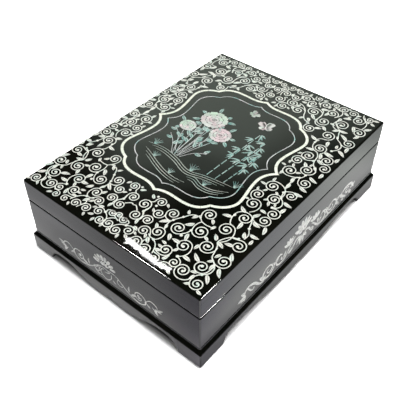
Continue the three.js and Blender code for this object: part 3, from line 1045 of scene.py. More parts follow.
# Stems of the right half, as the points that they pass through.
stems = [
    [(53.8, -93.4), (49.3, -96.5), (45.6, -103.5), (42.3, -109.0), (40.1, -114.0), (39.1, -119.0),
     (40.7, -125.7), (42.0, -129.4)],
    [(110.6, -89.0), (110.6, -81.7), (106.0, -74.2), (102.7, -65.8), (99.5, -59.5)],
    [(107.0, -91.6), (99.5, -94.8), (94.5, -102.3), (93.2, -108.2), (96.2, -112.3), (98.7, -119.0),
     (101.2, -126.5), (107.0, -130.7), (111.6, -136.0), (112.0, -143.0), (107.4, -149.0)],
    [(34.0, -142.6), (37.4, -144.8), (43.0, -145.5), (48.7, -149.0), (52.0, -154.0), (54.0, -159.5)],
    [(102.2, -8.8), (105.2, -17.5), (109.3, -20.8), (112.2, -26.7), (111.0, -31.7), (106.5, -35.0)],
    [(82.5, -68.0), (83.2, -73.0), (86.0, -79.2), (89.0, -81.4)],
    [(83.5, 92.0), (82.0, 85.0), (83.5, 78.0), (88.0, 72.8), (94.0, 70.5), (98.2, 64.5), (99.5, 57.5),
     (101.5, 51.0), (106.0, 45.8)],
    [(96.5, 111.0), (98.5, 107.0), (106.0, 101.7), (110.0, 96.0), (109.3, 89.2), (105.2, 83.3)],
    [(100.8, -4.0), (99.6, 5.0), (98.7, 14.0), (99.8, 20.5), (102.7, 21.7), (105.0, 25.5),
     (105.2, 30.0)],
    [(80.3, 142.3), (82.0, 132.3), (87.8, 126.5), (92.8, 122.3), (95.3, 115.7), (99.5, 107.3)],
    [(53.0, 146.5), (57.5, 143.5), (59.8, 137.0), (60.3, 128.0), (59.5, 122.3), (63.0, 116.5),
     (69.5, 114.8), (75.0, 117.5)],
    [(26.0, 139.5), (31.0, 138.6), (36.0, 134.7), (40.3, 129.0), (43.7, 120.7), (48.7, 114.8),
     (56.5, 112.3)],
    [(64.1, -96.9), (70.0, -97.7), (79.0, -96.5)],
    [(63.7, 161.0), (71.2, 158.2), (76.2, 157.6), (78.7, 152.3), (77.8, 146.5), (74.5, 141.5)],
    [(111.5, 141.3), (112.4, 147.5), (111.2, 154.0), (106.8, 158.4), (102.0, 163.0), (100.3, 168.0)],
    [(-6.0, -123.5), (-3.0, -122.6), (0.5, -125.0), (3.0, -127.4)],
    [(12.9, -137.0), (13.8, -130.7), (8.7, -123.6), (9.6, -117.0)],
]

# Leaves of the right half: base, then tip.
leaves = [
    (4.1, -102.8, -1.3, -98.6), (21.2, -99.8, 25.3, -104.0), (17.0, -117.3, 13.2, -113.6),
    (38.2, -117.3, 30.3, -124.0), (39.5, -122.3, 42.0, -128.2), (34.5, -132.3, 30.3, -126.5),
    (47.0, -96.9, 43.2, -91.9), (56.2, -93.2, 52.4, -99.4), (59.9, -104.0, 53.3, -111.5),
    (64.5, -118.2, 67.8, -127.7), (50.3, -129.8, 55.3, -136.9), (65.8, -133.2, 56.2, -132.3),
    (69.5, -139.0, 66.8, -145.0), (56.2, -142.3, 50.3, -140.7), (56.0, -147.3, 50.3, -147.0),
    (57.8, -152.3, 51.0, -153.2), (79.5, -143.0, 89.0, -143.6), (82.5, -122.3, 80.9, -129.8),
    (79.1, -110.7, 85.5, -113.3), (90.3, -107.3, 85.3, -100.7), (93.5, -108.3, 102.4, -111.0),
    (107.8, -103.2, 99.0, -104.9), (118.5, -118.0, 112.5, -110.7), (106.0, -119.2, 102.8, -125.5),
    (104.7, -129.0, 100.8, -134.0), (109.3, -132.5, 108.4, -140.6), (95.0, -138.6, 85.0, -133.2),
    (115.5, -133.2, 122.0, -142.5), (111.2, -146.5, 118.6, -154.4), (102.0, -150.6, 95.8, -152.3),
    (102.3, -154.0, 101.6, -161.0), (115.6, -165.6, 121.8, -167.6), (105.0, -163.5, 100.6, -167.6),
    (78.5, -164.5, 84.0, -168.0), (70.3, -87.7, 75.3, -92.8), (79.0, -93.5, 76.8, -99.4),
    (56.5, -91.8, 61.0, -94.5), (12.8, -135.7, 14.5, -142.3), (32.0, -144.8, 35.3, -150.0),
    (37.0, -146.5, 42.0, -153.2), (16.2, -145.0, 23.0, -147.5), (22.0, -149.8, 26.0, -152.8),
    (17.0, -159.0, 23.0, -162.4), (12.0, -162.4, 12.8, -168.4), (27.0, -163.5, 24.0, -168.2),
    (-1.5, -162.5, -1.0, -168.0), (52.0, -163.5, 49.0, -168.0), (66.0, -158.0, 69.0, -151.5),
    (81.5, 20.0, 82.0, 13.3), (98.3, 17.0, 99.8, 8.5), (99.7, 7.0, 100.5, -2.5),
    (111.0, 9.8, 121.0, 6.0), (83.5, -0.5, 82.7, 6.0), (80.0, -10.5, 73.5, -9.4),
    (86.5, -15.8, 83.5, -20.5), (111.5, -2.3, 121.8, -2.5), (95.8, -13.3, 100.5, -16.5),
    (111.5, -21.0, 121.8, -23.5), (78.5, -22.5, 76.7, -17.4), (96.0, -28.0, 92.0, -31.5),
    (98.5, -31.0, 101.8, -36.5), (106.0, -28.5, 107.5, -33.5), (117.5, -35.8, 118.0, -27.5),
    (79.8, -40.0, 74.5, -40.3), (99.3, -45.5, 106.8, -46.0), (98.5, -58.0, 103.5, -50.8),
    (89.5, -58.3, 80.3, -53.8), (104.0, -64.5, 113.5, -67.0), (117.4, -62.5, 121.6, -72.5),
    (82.7, -72.5, 72.7, -75.0), (95.5, -71.8, 97.3, -82.5), (111.8, -80.0, 122.0, -80.3),
    (110.0, -87.5, 105.2, -81.0), (118.3, -91.0, 118.1, -84.0), (81.0, 90.0, 71.3, 93.5),
    (94.2, 95.5, 96.5, 86.0), (107.0, 90.5, 105.0, 97.0), (117.6, 99.0, 118.1, 90.0),
    (111.0, 88.5, 121.8, 82.8), (101.5, 76.5, 112.5, 75.0), (118.8, 68.5, 119.2, 76.8),
    (88.5, 71.5, 78.8, 70.5), (98.5, 71.0, 103.0, 61.5), (81.0, 59.3, 77.0, 55.6),
    (101.5, 59.8, 109.0, 55.5), (97.5, 41.0, 92.8, 48.0), (101.0, 45.0, 102.0, 50.5),
    (106.0, 47.5, 109.5, 41.5), (118.6, 42.5, 118.9, 33.8), (79.0, 40.5, 79.3, 35.0),
    (87.0, 33.0, 84.0, 38.5), (78.8, 29.5, 72.9, 31.0), (95.0, 25.8, 100.0, 29.5),
    (111.0, 29.3, 121.8, 24.7), (101.5, 139.0, 106.5, 130.0), (92.0, 150.5, 83.0, 147.0),
    (81.3, 144.5, 82.5, 137.0), (92.8, 122.5, 103.0, 123.5), (91.0, 122.5, 86.3, 115.8),
    (108.5, 110.0, 97.8, 117.5), (115.0, 128.0, 113.0, 119.0), (114.5, 142.0, 121.5, 148.3),
    (77.0, 128.0, 83.5, 127.3), (74.3, 117.0, 80.0, 111.0), (67.0, 108.0, 74.0, 112.5),
    (50.5, 129.5, 58.0, 122.0), (64.0, 144.5, 63.0, 137.0), (53.5, 147.3, 62.5, 149.5),
    (50.0, 120.0, 55.5, 114.5), (45.5, 118.0, 41.0, 112.8), (32.0, 146.0, 25.0, 144.6),
    (34.5, 145.0, 37.5, 139.8), (18.0, 122.6, 23.0, 120.5), (2.0, 121.5, -3.5, 118.6),
    (5.5, 118.5, 4.5, 112.8), (79.5, 157.5, 86.5, 154.5), (64.5, 158.0, 67.0, 152.4),
    (72.0, 158.4, 67.0, 160.5), (94.0, 160.5, 98.5, 164.6), (114.5, 158.5, 120.6, 156.0),
    (114.5, 165.5, 121.0, 167.0), (26.0, 133.0, 29.5, 138.0), (9.0, 146.5, 9.5, 153.5),
    (22.0, 151.0, 19.5, 157.0), (46.5, 163.0, 51.0, 167.5), (33.5, 159.5, 36.5, 156.5),
    (7.4, 161.0, 8.4, 167.2), (26.5, 161.5, 28.0, 167.4), (46.5, 153.5, 43.0, 157.5),
    (83.0, 166.8, 78.6, 168.0), (88.0, 150.5, 89.0, 156.0), (22.5, 128.5, 26.0, 122.8),
    (58.5, 158.5, 60.0, 152.6),
]

# Beads of the right half: x, y and radius.
beads = [
    (8.7, -123.6, 1.7), (5.8, -98.2, 1.4), (13.4, -109.5, 1.5), (45.3, -103.6, 1.5),
    (40.3, -113.2, 1.5), (63.3, -112.7, 1.6), (60.3, -124.0, 1.7), (43.0, -145.5, 1.6),
    (75.3, -146.6, 1.7), (67.8, -151.5, 1.4), (106.2, -91.6, 1.5), (107.4, -149.0, 1.4),
    (105.2, -17.7, 1.6), (102.2, -8.8, 1.6), (106.2, -35.2, 1.7), (83.2, -68.0, 1.6),
    (106.0, -74.2, 1.5), (81.9, 85.0, 1.5), (105.2, 83.3, 1.7), (98.7, 55.4, 1.6), (105.2, 29.4, 1.6),
    (102.4, 21.7, 1.6), (109.8, -34.2, 1.3), (99.8, -59.8, 1.4), (53.9, 112.4, 1.5), (38.5, 142.6, 2.2),
    (111.4, 157.4, 1.6), (92.8, 122.3, 1.6), (21.5, 163.6, 1.3), (9.4, -149.2, 1.5),
]

# The cartouche, in mm. It stands a little to the left of the middle and towards the back.
cartouche = {
    "shiftX": -6.0,
    "shiftY": 11.0,
    "halfWidth": 86.3,
    "halfLength": 103.5,
    "band": 3.4,  # width of the band, and of the line inside it
    "line": 1.2,
    "inset": 12.5,  # how far inside it the line runs
    "edge": 0.22,  # width of the softened edge
    "section": (-0.5, -0.02, 0.05),  # heights of the foot, the shoulder and the top
    "sharpest": 0.3,  # least cosine that a mitre is worked out with
    "number": 0.3,
    "curveSteps": 14,
    "curves": [
        [(0, 1), (0.07, 0.961), (0.139, 0.95), (0.232, 0.95)],
        [(0.232, 0.95), (0.417, 0.956), (0.62, 0.981), (0.713, 0.816)],
        [(0.713, 0.816), (0.834, 0.787), (0.948, 0.705), (0.948, 0.594)],
        [(0.948, 0.594), (0.948, 0.502), (0.877, 0.348), (0.877, 0.213)],
        [(0.877, 0.213), (0.877, 0.116), (0.927, 0.053), (1, 0)],
    ],
}

lidDrawing = {
    "line": 1.2,  # width of a scroll's line
    "flare": 0.35,  # share that the line is wider at the eye, and how fast that goes
    "flareEnds": 18.0,
    "thinning": 0.10,
    "stem": 0.95,  # width of a stem, in lines
    "eye": 1.55,  # radius of the bead at the eye of a scroll whose own radius is eyeScroll
    "eyeScroll": 7.0,
    "axisEye": 1.5,
    "beadLift": 0.02,
    "stations": 64,
    "swell": 1.1,  # of every scroll's radius, and of its turns
    "unwind": 0.82,
    "leaf": (0.50, 2.6, 4.2),  # width of a leaf: share of its length, least and most
    "leafTuck": 0.5,
    "squeeze": 0.945,  # the left half is a little narrower, and more so beside the cartouche
    "besideSqueeze": 0.80,
    "besideReach": (104.0, 26.0),  # along the cartouche: where that ends, and the fade before it
    "besideFrom": (60.0, 20.0),  # away from the axis: where it starts, and the fade after it
    "leftScale": 0.92,
}


# Turns a point of the right half over to the left, about the cartouche's middle line. Away from the
# cartouche the distance from it shrinks by one share, and beside it only the part beyond the tip shrinks.
def turnOver(flat):
    flat = np.asarray(flat, dtype=float)
    axis, tip = cartouche["shiftX"], cartouche["halfWidth"]
    away = flat[..., 0] - axis
    end, fade = lidDrawing["besideReach"]
    start, rise = lidDrawing["besideFrom"]
    beside = np.clip((end - np.abs(flat[..., 1] - cartouche["shiftY"])) / fade, 0.0, 1.0)
    beside = beside * beside * (3 - 2 * beside) * np.clip((away - start) / rise, 0.0, 1.0)
    whole = away * lidDrawing["squeeze"]
    past = tip + (away - tip) * lidDrawing["besideSqueeze"]
    return np.stack([axis - (whole * (1 - beside) + past * beside), flat[..., 1]], axis=-1)


# A scroll of the lid, a little larger and less wound than its row says.
def lidScroll(x, y, radius, turns, leaving, hand, joinX, joinY):
    radius, turns = radius * lidDrawing["swell"], turns * lidDrawing["unwind"]
    return scrollLine(x, y, radius, turns, leaving, hand, joinX, joinY)


# All shell of one half. A scroll's line = its width times one and a flare that fades from the eye, less a
# share of the way, and a leaf's width is a share of its length within two limits.
def scrollWork(left):
    lines = []
    eyes = []
    for x, y, radius, turns, leaving, hand, joinX, joinY in scrolls:
        if left:
            (x, y), (joinX, joinY) = turnOver([(x, y), (joinX, joinY)])
            radius, leaving, hand = radius * lidDrawing["leftScale"], 180 - leaving, -hand
        lines.append(lidScroll(x, y, radius, turns, leaving, hand, joinX, joinY))
        eyes.append(lines[-1][0])
    for way in stems:
        way = turnOver(way) if left else np.array(way)
        lines.append(smoothLine(way, lidDrawing["stations"]))
    lines = np.array(lines)
    share = np.linspace(0, 1, lines.shape[1])
    flare = lidDrawing["flare"] * np.exp(-share * lidDrawing["flareEnds"])
    taper = lidDrawing["line"] * (1.0 + flare - lidDrawing["thinning"] * share)
    widths = np.broadcast_to(taper, lines.shape[:2]).copy()
    widths[len(scrolls):] = lidDrawing["line"] * lidDrawing["stem"]
    eyeSizes = np.array([row[2] for row in scrolls]) / lidDrawing["eyeScroll"] * lidDrawing["eye"]
    spots = np.array(beads)
    places, sizes = spots[:, :2], spots[:, 2]
    cut = np.array(leaves)
    bases, tips = cut[:, :2], cut[:, 2:]
    if left:
        places, bases, tips = turnOver(places), turnOver(bases), turnOver(tips)
    length = np.linalg.norm(tips - bases, axis=1)
    part, least, most = lidDrawing["leaf"]
    bases = bases - (tips - bases) / length[:, None] * lidDrawing["leafTuck"]
    lift = lidDrawing["beadLift"]
    return {
        "vines": [
            shellStrips(lines, widths), shellDots(eyes, eyeSizes, lift), shellDots(places, sizes, lift),
        ],
        "leaves": leafHalves(bases, tips, np.clip(length * part, least, most)),
    }


for half, left in (("right", False), ("left", True)):
    for kind, parts in scrollWork(left).items():
        makeInlay(f"lid_scroll_{kind}_{half}", "lid", vineShell, parts)

# On the axis, below and above the cartouche, a few scrolls belong to both halves.
axisScrolls = [
    (-6.2, -143.6, 4.2, 1.7, 260, 1, -1.5, -150.0), (-6.6, -158.4, 6.0, 2.0, 140, -1, -6.0, -149.0),
    (-6.4, 153.6, 4.6, 1.8, 60, 1, -6.0, 161.5),
]
axisLines = np.array([lidScroll(*row) for row in axisScrolls])
makeInlay("lid_scroll_middle", "lid", vineShell, [
    shellStrips(axisLines, np.full(axisLines.shape[:2], lidDrawing["line"])),
    shellDots(axisLines[:, 0], np.full(len(axisScrolls), lidDrawing["axisEye"]), lidDrawing["beadLift"]),
])
print("lid: scroll work")


# The cartouche's outline: five curves for one quarter in shares of the half sizes, mirrored twice.
def cartoucheLine(halfX, halfY):
    steps = cartouche["curveSteps"]
    quarter = np.vstack([bezier(*curve, steps)[:-1] for curve in cartouche["curves"]])
    right = np.vstack([quarter, [(1.0, 0.0)], quarter[:0:-1] * np.array([1.0, -1.0])])
    whole = np.vstack([right, -right])
    return whole * np.array([halfX, halfY])


# A closed band along the outline: the section is offset square to the mean of the two neighbouring sides,
# by its width over the cosine of half the turn, so corners are mitred. The top edges are softened.
def outlineBand(name, halfX, halfY, width, finish, stands):
    line = cartoucheLine(halfX, halfY)
    arriving = line - np.roll(line, 1, axis=0)
    leaving = np.roll(line, -1, axis=0) - line
    arriving /= np.linalg.norm(arriving, axis=1)[:, None]
    leaving /= np.linalg.norm(leaving, axis=1)[:, None]
    mean = arriving + leaving
    mean /= np.linalg.norm(mean, axis=1)[:, None]
    stretch = 1.0 / np.maximum(cartouche["sharpest"], (arriving * mean).sum(axis=1))
    across = np.column_stack([mean[:, 1], -mean[:, 0]]) * stretch[:, None]
    half, edge = width / 2, cartouche["edge"]
    sectionAcross = np.array([-half, -half, edge - half, half - edge, half, half])
    foot, shoulder, top = cartouche["section"]
    sectionUp = np.array([foot, shoulder, top, top, shoulder, foot])
    columns = len(sectionUp)
    grid = line[:, None, :] + across[:, None, :] * sectionAcross[None, :, None]
    up = np.broadcast_to(sectionUp[None, :, None], grid.shape[:2] + (1,))
    grid = np.concatenate([grid, up], axis=-1)
    grid = np.vstack([grid, grid[:1]])
    step = np.linalg.norm(np.diff(np.vstack([line, line[:1]]), axis=0), axis=1)
    along = np.concatenate([[0.0], np.cumsum(step)])
    rows = len(grid)
    cut = np.column_stack([along, np.full(rows, cartouche["number"])])
    cut = np.repeat(cut[:, None, :], columns, axis=1).reshape(-1, 2)
    points = onFace("lid", grid.reshape(-1, 3)) + np.array([cartouche["shiftX"], cartouche["shiftY"], 0.0])
    faces = tubeQuads(rows, columns)
    makePiece(name, "lid", finish, points, faces, cut, stands, inlay["sharp"])


outlineBand(
    "cartouche_band_shell", cartouche["halfWidth"], cartouche["halfLength"], cartouche["band"], bandShell,
    ("lid_cartouche_band",),
)
outlineBand(
    "cartouche_line_shell", cartouche["halfWidth"] - cartouche["inset"],
    cartouche["halfLength"] - cartouche["inset"], cartouche["line"], lineShell, ("lid_cartouche_line",),
)
print("lid: cartouche")


petalShape = {"arch": (0.10, 0.84), "stations": 6, "fullness": 0.8}


# Petals: strips whose width = the greatest times the sine of part of an arch to a power, from a narrow base
# to a blunt end.
def petals(centre, inner, outer, angles, width, squash=1.0, arch=petalShape["arch"]):
    angles = np.radians(np.asarray(angles, dtype=float))[:, None]
    share = np.linspace(0.0, 1.0, petalShape["stations"])[None, :]
    reach = inner + (outer - inner) * share
    start, end = arch
    opening = width * np.sin(math.pi * (start + (end - start) * share)) ** petalShape["fullness"]
    direction = np.stack([np.cos(angles), np.sin(angles)], axis=-1)
    across = np.stack([-np.sin(angles), np.cos(angles)], axis=-1)
    middle = direction * reach[..., None]
    left = middle + across * opening[..., None] / 2
    right = middle - across * opening[..., None] / 2
    flat = np.array([1.0, squash])
    return shellBands(np.array(centre) + left * flat, np.array(centre) + right * flat)


# Rows of petals round one centre, each row as its first and last angle, its count and its two radii. The
# petals fill most of their pitch and leave a dark gap.
def petalRows(centre, rows, squash, fill, arch=petalShape["arch"]):
    parts = []
    for first, last, count, inner, outer in rows:
        angles = np.linspace(first, last, count)
        pitch = math.radians(abs(last - first) / (count - 1)) * outer
        parts.append(petals(centre, inner, outer, angles, pitch * fill, squash, arch))
    return parts


# The picture. Peonies are x, y, radius and turn, butterflies x, y, size and tilt, and canes run from their
# foot to their top.
picture = {
    "peonies": [(-34.0, 44.0, 17.0, 20.0), (-10.0, 25.0, 13.5, 70.0), (-52.0, 16.0, 10.5, 10.0)],
    "butterflies": [(22.0, 72.0, 12.0, 24.0), (-4.0, 84.0, 8.0, -28.0)],
    "stalks": [(22.0, -40.0, 26.0, 56.0), (33.0, -39.0, 40.0, 46.0), (44.0, -38.0, 49.0, 26.0)],
    "stem": 0.6,
    "stemStations": 20,
}
peonyShape = {
    "rows": [(10, 0.63, 1.0, 0.0), (8, 0.36, 0.62, 24.0), (6, 0.15, 0.35, 9.0)],  # count, radii, turn
    "squash": 0.93,
    "fill": 0.90,
    "arch": (0.18, 0.76),
    "heart": 0.10,
    "bead": 0.042,
    "beadCount": 6,
    "beadLift": 0.01,
}


# A peony seen from above: rows of petals, and a heart of one bead with others round it. All its sizes are
# shares of its radius.
def peony(x, y, radius, turn):
    rows = []
    for count, inner, outer, shift in peonyShape["rows"]:
        first = turn + shift
        rows.append((first, first + 360.0 * (count - 1) / count, count, inner * radius, outer * radius))
    count = peonyShape["beadCount"]
    around = np.radians(np.arange(count) * 360.0 / count)
    ring = peonyShape["heart"] * radius * np.column_stack([np.cos(around), np.sin(around)])
    hearts = np.vstack([[(x, y)], np.array([x, y]) + ring])
    blossom = petalRows((x, y), rows, peonyShape["squash"], peonyShape["fill"], peonyShape["arch"])
    sizes = np.full(len(hearts), peonyShape["bead"] * radius)
    return blossom + [shellDots(hearts, sizes, peonyShape["beadLift"])]


butterflyShape = {
    # angle, reach and width
    "wings": [(38, 1.0, 0.60), (64, 0.86, 0.34), (-28, 0.72, 0.50), (-60, 0.62, 0.28)],
    "root": 0.14,
    "body": (-0.45, 0.35),
    "girth": [0.03, 0.12, 0.15, 0.13, 0.09, 0.05],
    "lift": 0.02,
}


# A butterfly: four wings on each side of a body that swells and tapers. All sizes are shares of its own.
def butterfly(x, y, size, tilt):
    parts = []
    for mirror in (-1, 1):
        for angle, reach, width in butterflyShape["wings"]:
            around = tilt + 90 + mirror * (90 - angle)
            root = size * butterflyShape["root"]
            parts.append(petals((x, y), root, size * reach, [around], size * width))
    lean = math.radians(tilt + 90)
    ahead = np.array([math.cos(lean), math.sin(lean)])
    tail, head = butterflyShape["body"]
    girth = np.array([butterflyShape["girth"]])
    body = np.array([x, y]) + ahead * size * np.linspace(tail, head, girth.size)[:, None]
    parts.append(shellStrips(body[None], girth * size, butterflyShape["lift"]))
    return parts


flowers = []
for row in picture["peonies"]:
    flowers += peony(*row)
makeInlay("picture_peonies", "lid", blossomShell, flowers)

wings = []
for row in picture["butterflies"]:
    wings += butterfly(*row)
makeInlay("picture_butterflies", "lid", blossomShell, wings)

# Stems under the peonies: each rises from the root, leans out and ends under a flower or in a bud.
peonyStems = [
    [(-28, -36), (-32, -8), (-35, 27)], [(-24, -36), (-22, -10), (-14, 12)],
    [(-31, -36), (-42, -14), (-50, 6)], [(-27, -32), (-27, 0), (-30, 27)],
    [(-29, -34), (-37, -6), (-40, 27)], [(-23, -34), (-16, -12), (-8, 12)],
    [(-33, -35), (-46, -18), (-58, -8)], [(-21, -35), (-12, -20), (0, -12)],
    [(-26, -36), (-18, -6), (-19, 22)], [(-30, -30), (-34, 8), (-46, 8)],
    [(-25, -30), (-26, 12), (-24, 38)], [(-32, -30), (-48, -6), (-60, 4)],
]
stalks = np.array([smoothLine(way, picture["stemStations"]) for way in peonyStems])
makeInlay("picture_peony_stems", "lid", lineShell, [
    shellStrips(stalks, np.full(stalks.shape[:2], picture["stem"])),
])

peonyLeaf = {
    "length": 10.5,
    "width": 4.4,
    "rib": 0.6,
    "behind": (8, 6, 5),  # how many stand out from behind each flower
    "wobble": (14.0, 5.0),  # degrees, and how fast it changes from leaf to leaf
    "shorter": (0.2, 3.0),  # share of the length, in the same way
    "tuck": 1.02,  # where they start, in radii of the flower
    "stations": (8, 11, 14, 17),  # of a stem that may carry one
    "spread": 44.0,
    "onStem": 0.85,
}


# Leaves of the peonies: some stand out from behind each flower, and the others leave the stems in turn to
# the left and right, at a set angle to the stem. The first ones' angle = an even share of the turn + a
# sine, and their length = the whole less a share + the share times a cosine.
def peonyLeaves():
    bases = []
    tips = []
    wobble, pace = peonyLeaf["wobble"]
    shorter, lengthPace = peonyLeaf["shorter"]
    for (x, y, radius, turn), count in zip(picture["peonies"], peonyLeaf["behind"]):
        for k in range(count):
            angle = math.radians(turn + 360.0 * k / count + wobble * math.sin(pace * k))
            away = np.array([math.cos(angle), math.sin(angle) * peonyShape["squash"]])
            length = peonyLeaf["length"] * (1.0 - shorter + shorter * math.cos(lengthPace * k))
            bases.append(np.array([x, y]) + away * radius * peonyLeaf["tuck"])
            tips.append(bases[-1] + away * length)
    spread = math.radians(peonyLeaf["spread"])
    for k, line in enumerate(stalks):
        for j, station in enumerate(peonyLeaf["stations"][k % 2::2]):
            ahead = line[station + 1] - line[station]
            angle = math.atan2(ahead[1], ahead[0]) + spread * (-1) ** (j + k // 2)
            away = np.array([math.cos(angle), math.sin(angle)])
            bases.append(line[station])
            tips.append(line[station] + away * peonyLeaf["length"] * peonyLeaf["onStem"])
    return leafHalves(bases, tips, np.full(len(bases), peonyLeaf["width"]), rib=peonyLeaf["rib"])


makeInlay("picture_peony_leaves", "lid", tealShell, peonyLeaves())


bambooShape = {
    "seed": 11,
    "joints": 9,
    "notch": 0.012,  # share of the cane that is cut out on each side of a joint
    "bare": 3,  # joints at the foot without leaves
    "spreads": (-64, -34, -4),  # degrees at which the leaves of a bunch hang
    "droop": 8,  # and how far they may vary
    "length": (9, 14),
    "stalk": 1.2,
    "cane": 1.1,
    "caneStations": 4,
    "leaf": 2.0,
    "rib": 0.1,
}


# Bamboo: jointed canes, each piece a short strip between two even shares of the way, and bunches of
# drooping leaves at the joints, to the left or right by chance.
def bamboo():
    canes = []
    drooping = []
    chance = np.random.default_rng(bambooShape["seed"])
    notch, droop = bambooShape["notch"], bambooShape["droop"]
    joints = np.linspace(0.0, 1.0, bambooShape["joints"])
    for x0, y0, x1, y1 in picture["stalks"]:
        for k in range(len(joints) - 1):
            ways = np.linspace(joints[k] + notch, joints[k + 1] - notch, bambooShape["caneStations"])
            canes.append([(x0 + (x1 - x0) * t, y0 + (y1 - y0) * t) for t in ways])
            if k < bambooShape["bare"]:
                continue
            x, y = x0 + (x1 - x0) * joints[k + 1], y0 + (y1 - y0) * joints[k + 1]
            lean = chance.choice([-1, 1])
            for spread in bambooShape["spreads"]:
                angle = math.radians(spread - droop + chance.uniform(-droop, droop))
                length = chance.uniform(*bambooShape["length"])
                tip = (x + lean * length * math.cos(angle), y + length * math.sin(angle))
                drooping.append((x + lean * bambooShape["stalk"], y, *tip))
    canes = np.array(canes)
    drooping = np.array(drooping)
    leafWidths = np.full(len(drooping), bambooShape["leaf"])
    return (
        [shellStrips(canes, np.full(canes.shape[:2], bambooShape["cane"]))],
        leafHalves(drooping[:, :2], drooping[:, 2:], leafWidths, rib=bambooShape["rib"]),
    )


canes, caneLeaves = bamboo()
makeInlay("picture_bamboo_canes", "lid", tealShell, canes)
makeInlay("picture_bamboo_leaves", "lid", tealShell, caneLeaves)

# Banks of mist across the foot: nested lines, each a step lower and drawn in a step at both ends.
mistBanks = [
    [(-66, -37), (-44, -34), (-22, -38), (2, -46), (24, -41), (56, -37)],
    [(4, -53), (16, -51), (28, -55), (42, -54), (58, -46)],
    [(-62, -46), (-48, -51), (-34, -57), (-18, -62.5), (-2, -65), (12, -64)],
]
mistLines = {
    "stations": 40,
    "count": 3,
    "step": 3.3,
    "drawIn": 0.06,
    "width": 0.85,
    "ends": 0.04,  # share of the sine arch of the width that is cut off at each end
    "fullness": 0.6,
    "along": 120,
}
mist = []
for bank in mistBanks:
    whole = smoothLine(bank, mistLines["along"])
    for k in range(mistLines["count"]):
        ends = int(len(whole) * mistLines["drawIn"] * k)
        part = whole[ends:len(whole) - ends] - np.array([0.0, mistLines["step"] * k])
        mist.append(evenSteps(part, mistLines["stations"]))
mist = np.array(mist)
share = np.linspace(0, 1, mistLines["stations"])
arch = mistLines["ends"] + (1 - 2 * mistLines["ends"]) * share
mistWidth = mistLines["width"] * np.sin(math.pi * arch) ** mistLines["fullness"]
mistWidth = np.broadcast_to(mistWidth, mist.shape[:2])
makeInlay("picture_mist_lines", "lid", mistShell, [shellStrips(mist, mistWidth)])

# Tufts of grass stand on the banks: blades that lean further the further they are from the middle one. A
# tuft is its bank, its x and its height, and the shares are of a blade's height.
grass = {
    "tufts": [(0, -58, 12), (0, 4, 13), (0, 58, 12), (1, 30, 10), (2, -44, 10), (2, -12, 9)],
    "leans": (-1.0, -0.6, -0.2, 0.25, 0.65, 1.0),
    "shorter": 0.3,
    "footSpread": 0.7,
    "bend": (0.3, 0.55),
    "tipLean": 0.85,
    "stations": 10,
    "width": 0.6,
    "taper": 0.6,
    "least": 0.12,
}
tuftWays = []
outward, upward = grass["bend"]
for bank, x, height in grass["tufts"]:
    ground = np.array(mistBanks[bank], dtype=float)
    y = np.interp(x, ground[:, 0], ground[:, 1])
    for lean in grass["leans"]:
        tall = height * (1.0 - grass["shorter"] * abs(lean))
        foot = (x + grass["footSpread"] * lean, y)
        bend = (foot[0] + lean * tall * outward, y + tall * upward)
        tuftWays.append([foot, bend, (x + lean * tall * grass["tipLean"], y + tall)])
tufts = np.array([smoothLine(way, grass["stations"]) for way in tuftWays])
share = np.linspace(0, 1, grass["stations"])
tuftWidth = grass["width"] * (1.0 - share) ** grass["taper"] + grass["least"]
tuftWidth = np.broadcast_to(tuftWidth, tufts.shape[:2])
makeInlay("picture_grass_tufts", "lid", tealShell, [shellStrips(tufts, tuftWidth)])
print("lid: picture")

# Scroll border on the walls, in mm. Strokes are a greatest width and the points that they pass through,
# leaves are base, tip and width, and petal rows are as above. A drawing called half is drawn twice, turned
# over about the middle, and one called once is drawn as it stands.
shortHalf = {
    "strokes": [
        (2.7, [(-2, 50.4), (5, 52.2), (12, 51.2), (18, 47.4), (24, 42), (30.5, 37.6), (38, 35.2),
               (46.5, 34.8), (52.6, 38.4), (54.6, 44), (51.4, 49.6), (46, 51.4), (41, 49), (39, 44.4),
               (41.2, 40.2), (45.2, 39.2), (48.2, 41.8), (47, 45)]),
        (2.4, [(52.6, 41.4), (56, 46.6), (60, 50.6), (65, 51.4), (69.6, 48.6), (70.8, 44.2),
               (68.4, 41), (65, 41.4), (63.6, 43.6)]),
        (1.7, [(22, 46.4), (21.6, 42), (18, 39.6), (14.2, 41), (13.2, 44.8), (15.6, 47.8),
               (18.8, 46.6)]),
    ],
    "leaves": [
        (30.4, 40, 30.6, 50.6, 4.4), (66.4, 42, 79, 48.6, 6.0), (66.4, 42, 76.4, 43.4, 5.2),
        (66.4, 42, 71, 35.0, 7.0), (55, 43, 60.6, 38, 4.2), (41, 42.6, 32, 37.4, 6.0),
        (43.4, 47.4, 45.4, 41.4, 6.0),
    ],
    "petals": [],
}
shortOnce = {
    "strokes": [
        (2.3, [(4.6, 48), (4, 41.6), (0.4, 36.8), (-4.4, 35), (-9, 37.2), (-11.6, 42), (-10.4, 47),
               (-6, 49.4)]),
        (1.8, [(-21, 40.4), (-17.4, 36.8), (-12.6, 36.2), (-9, 38.4)]),
    ],
    "leaves": [
        (3.6, 50, -6, 45, 3.4), (-10.6, 51, -16.6, 39.4, 2.6), (-15, 49, -21.6, 41, 2.4),
        (6, 41, 11, 36.4, 2.6),
    ],
    "petals": [((-4.4, 54.6), [(165, 15, 8, 8.4, 17.0), (150, 30, 5, 2.0, 7.8)])],
}
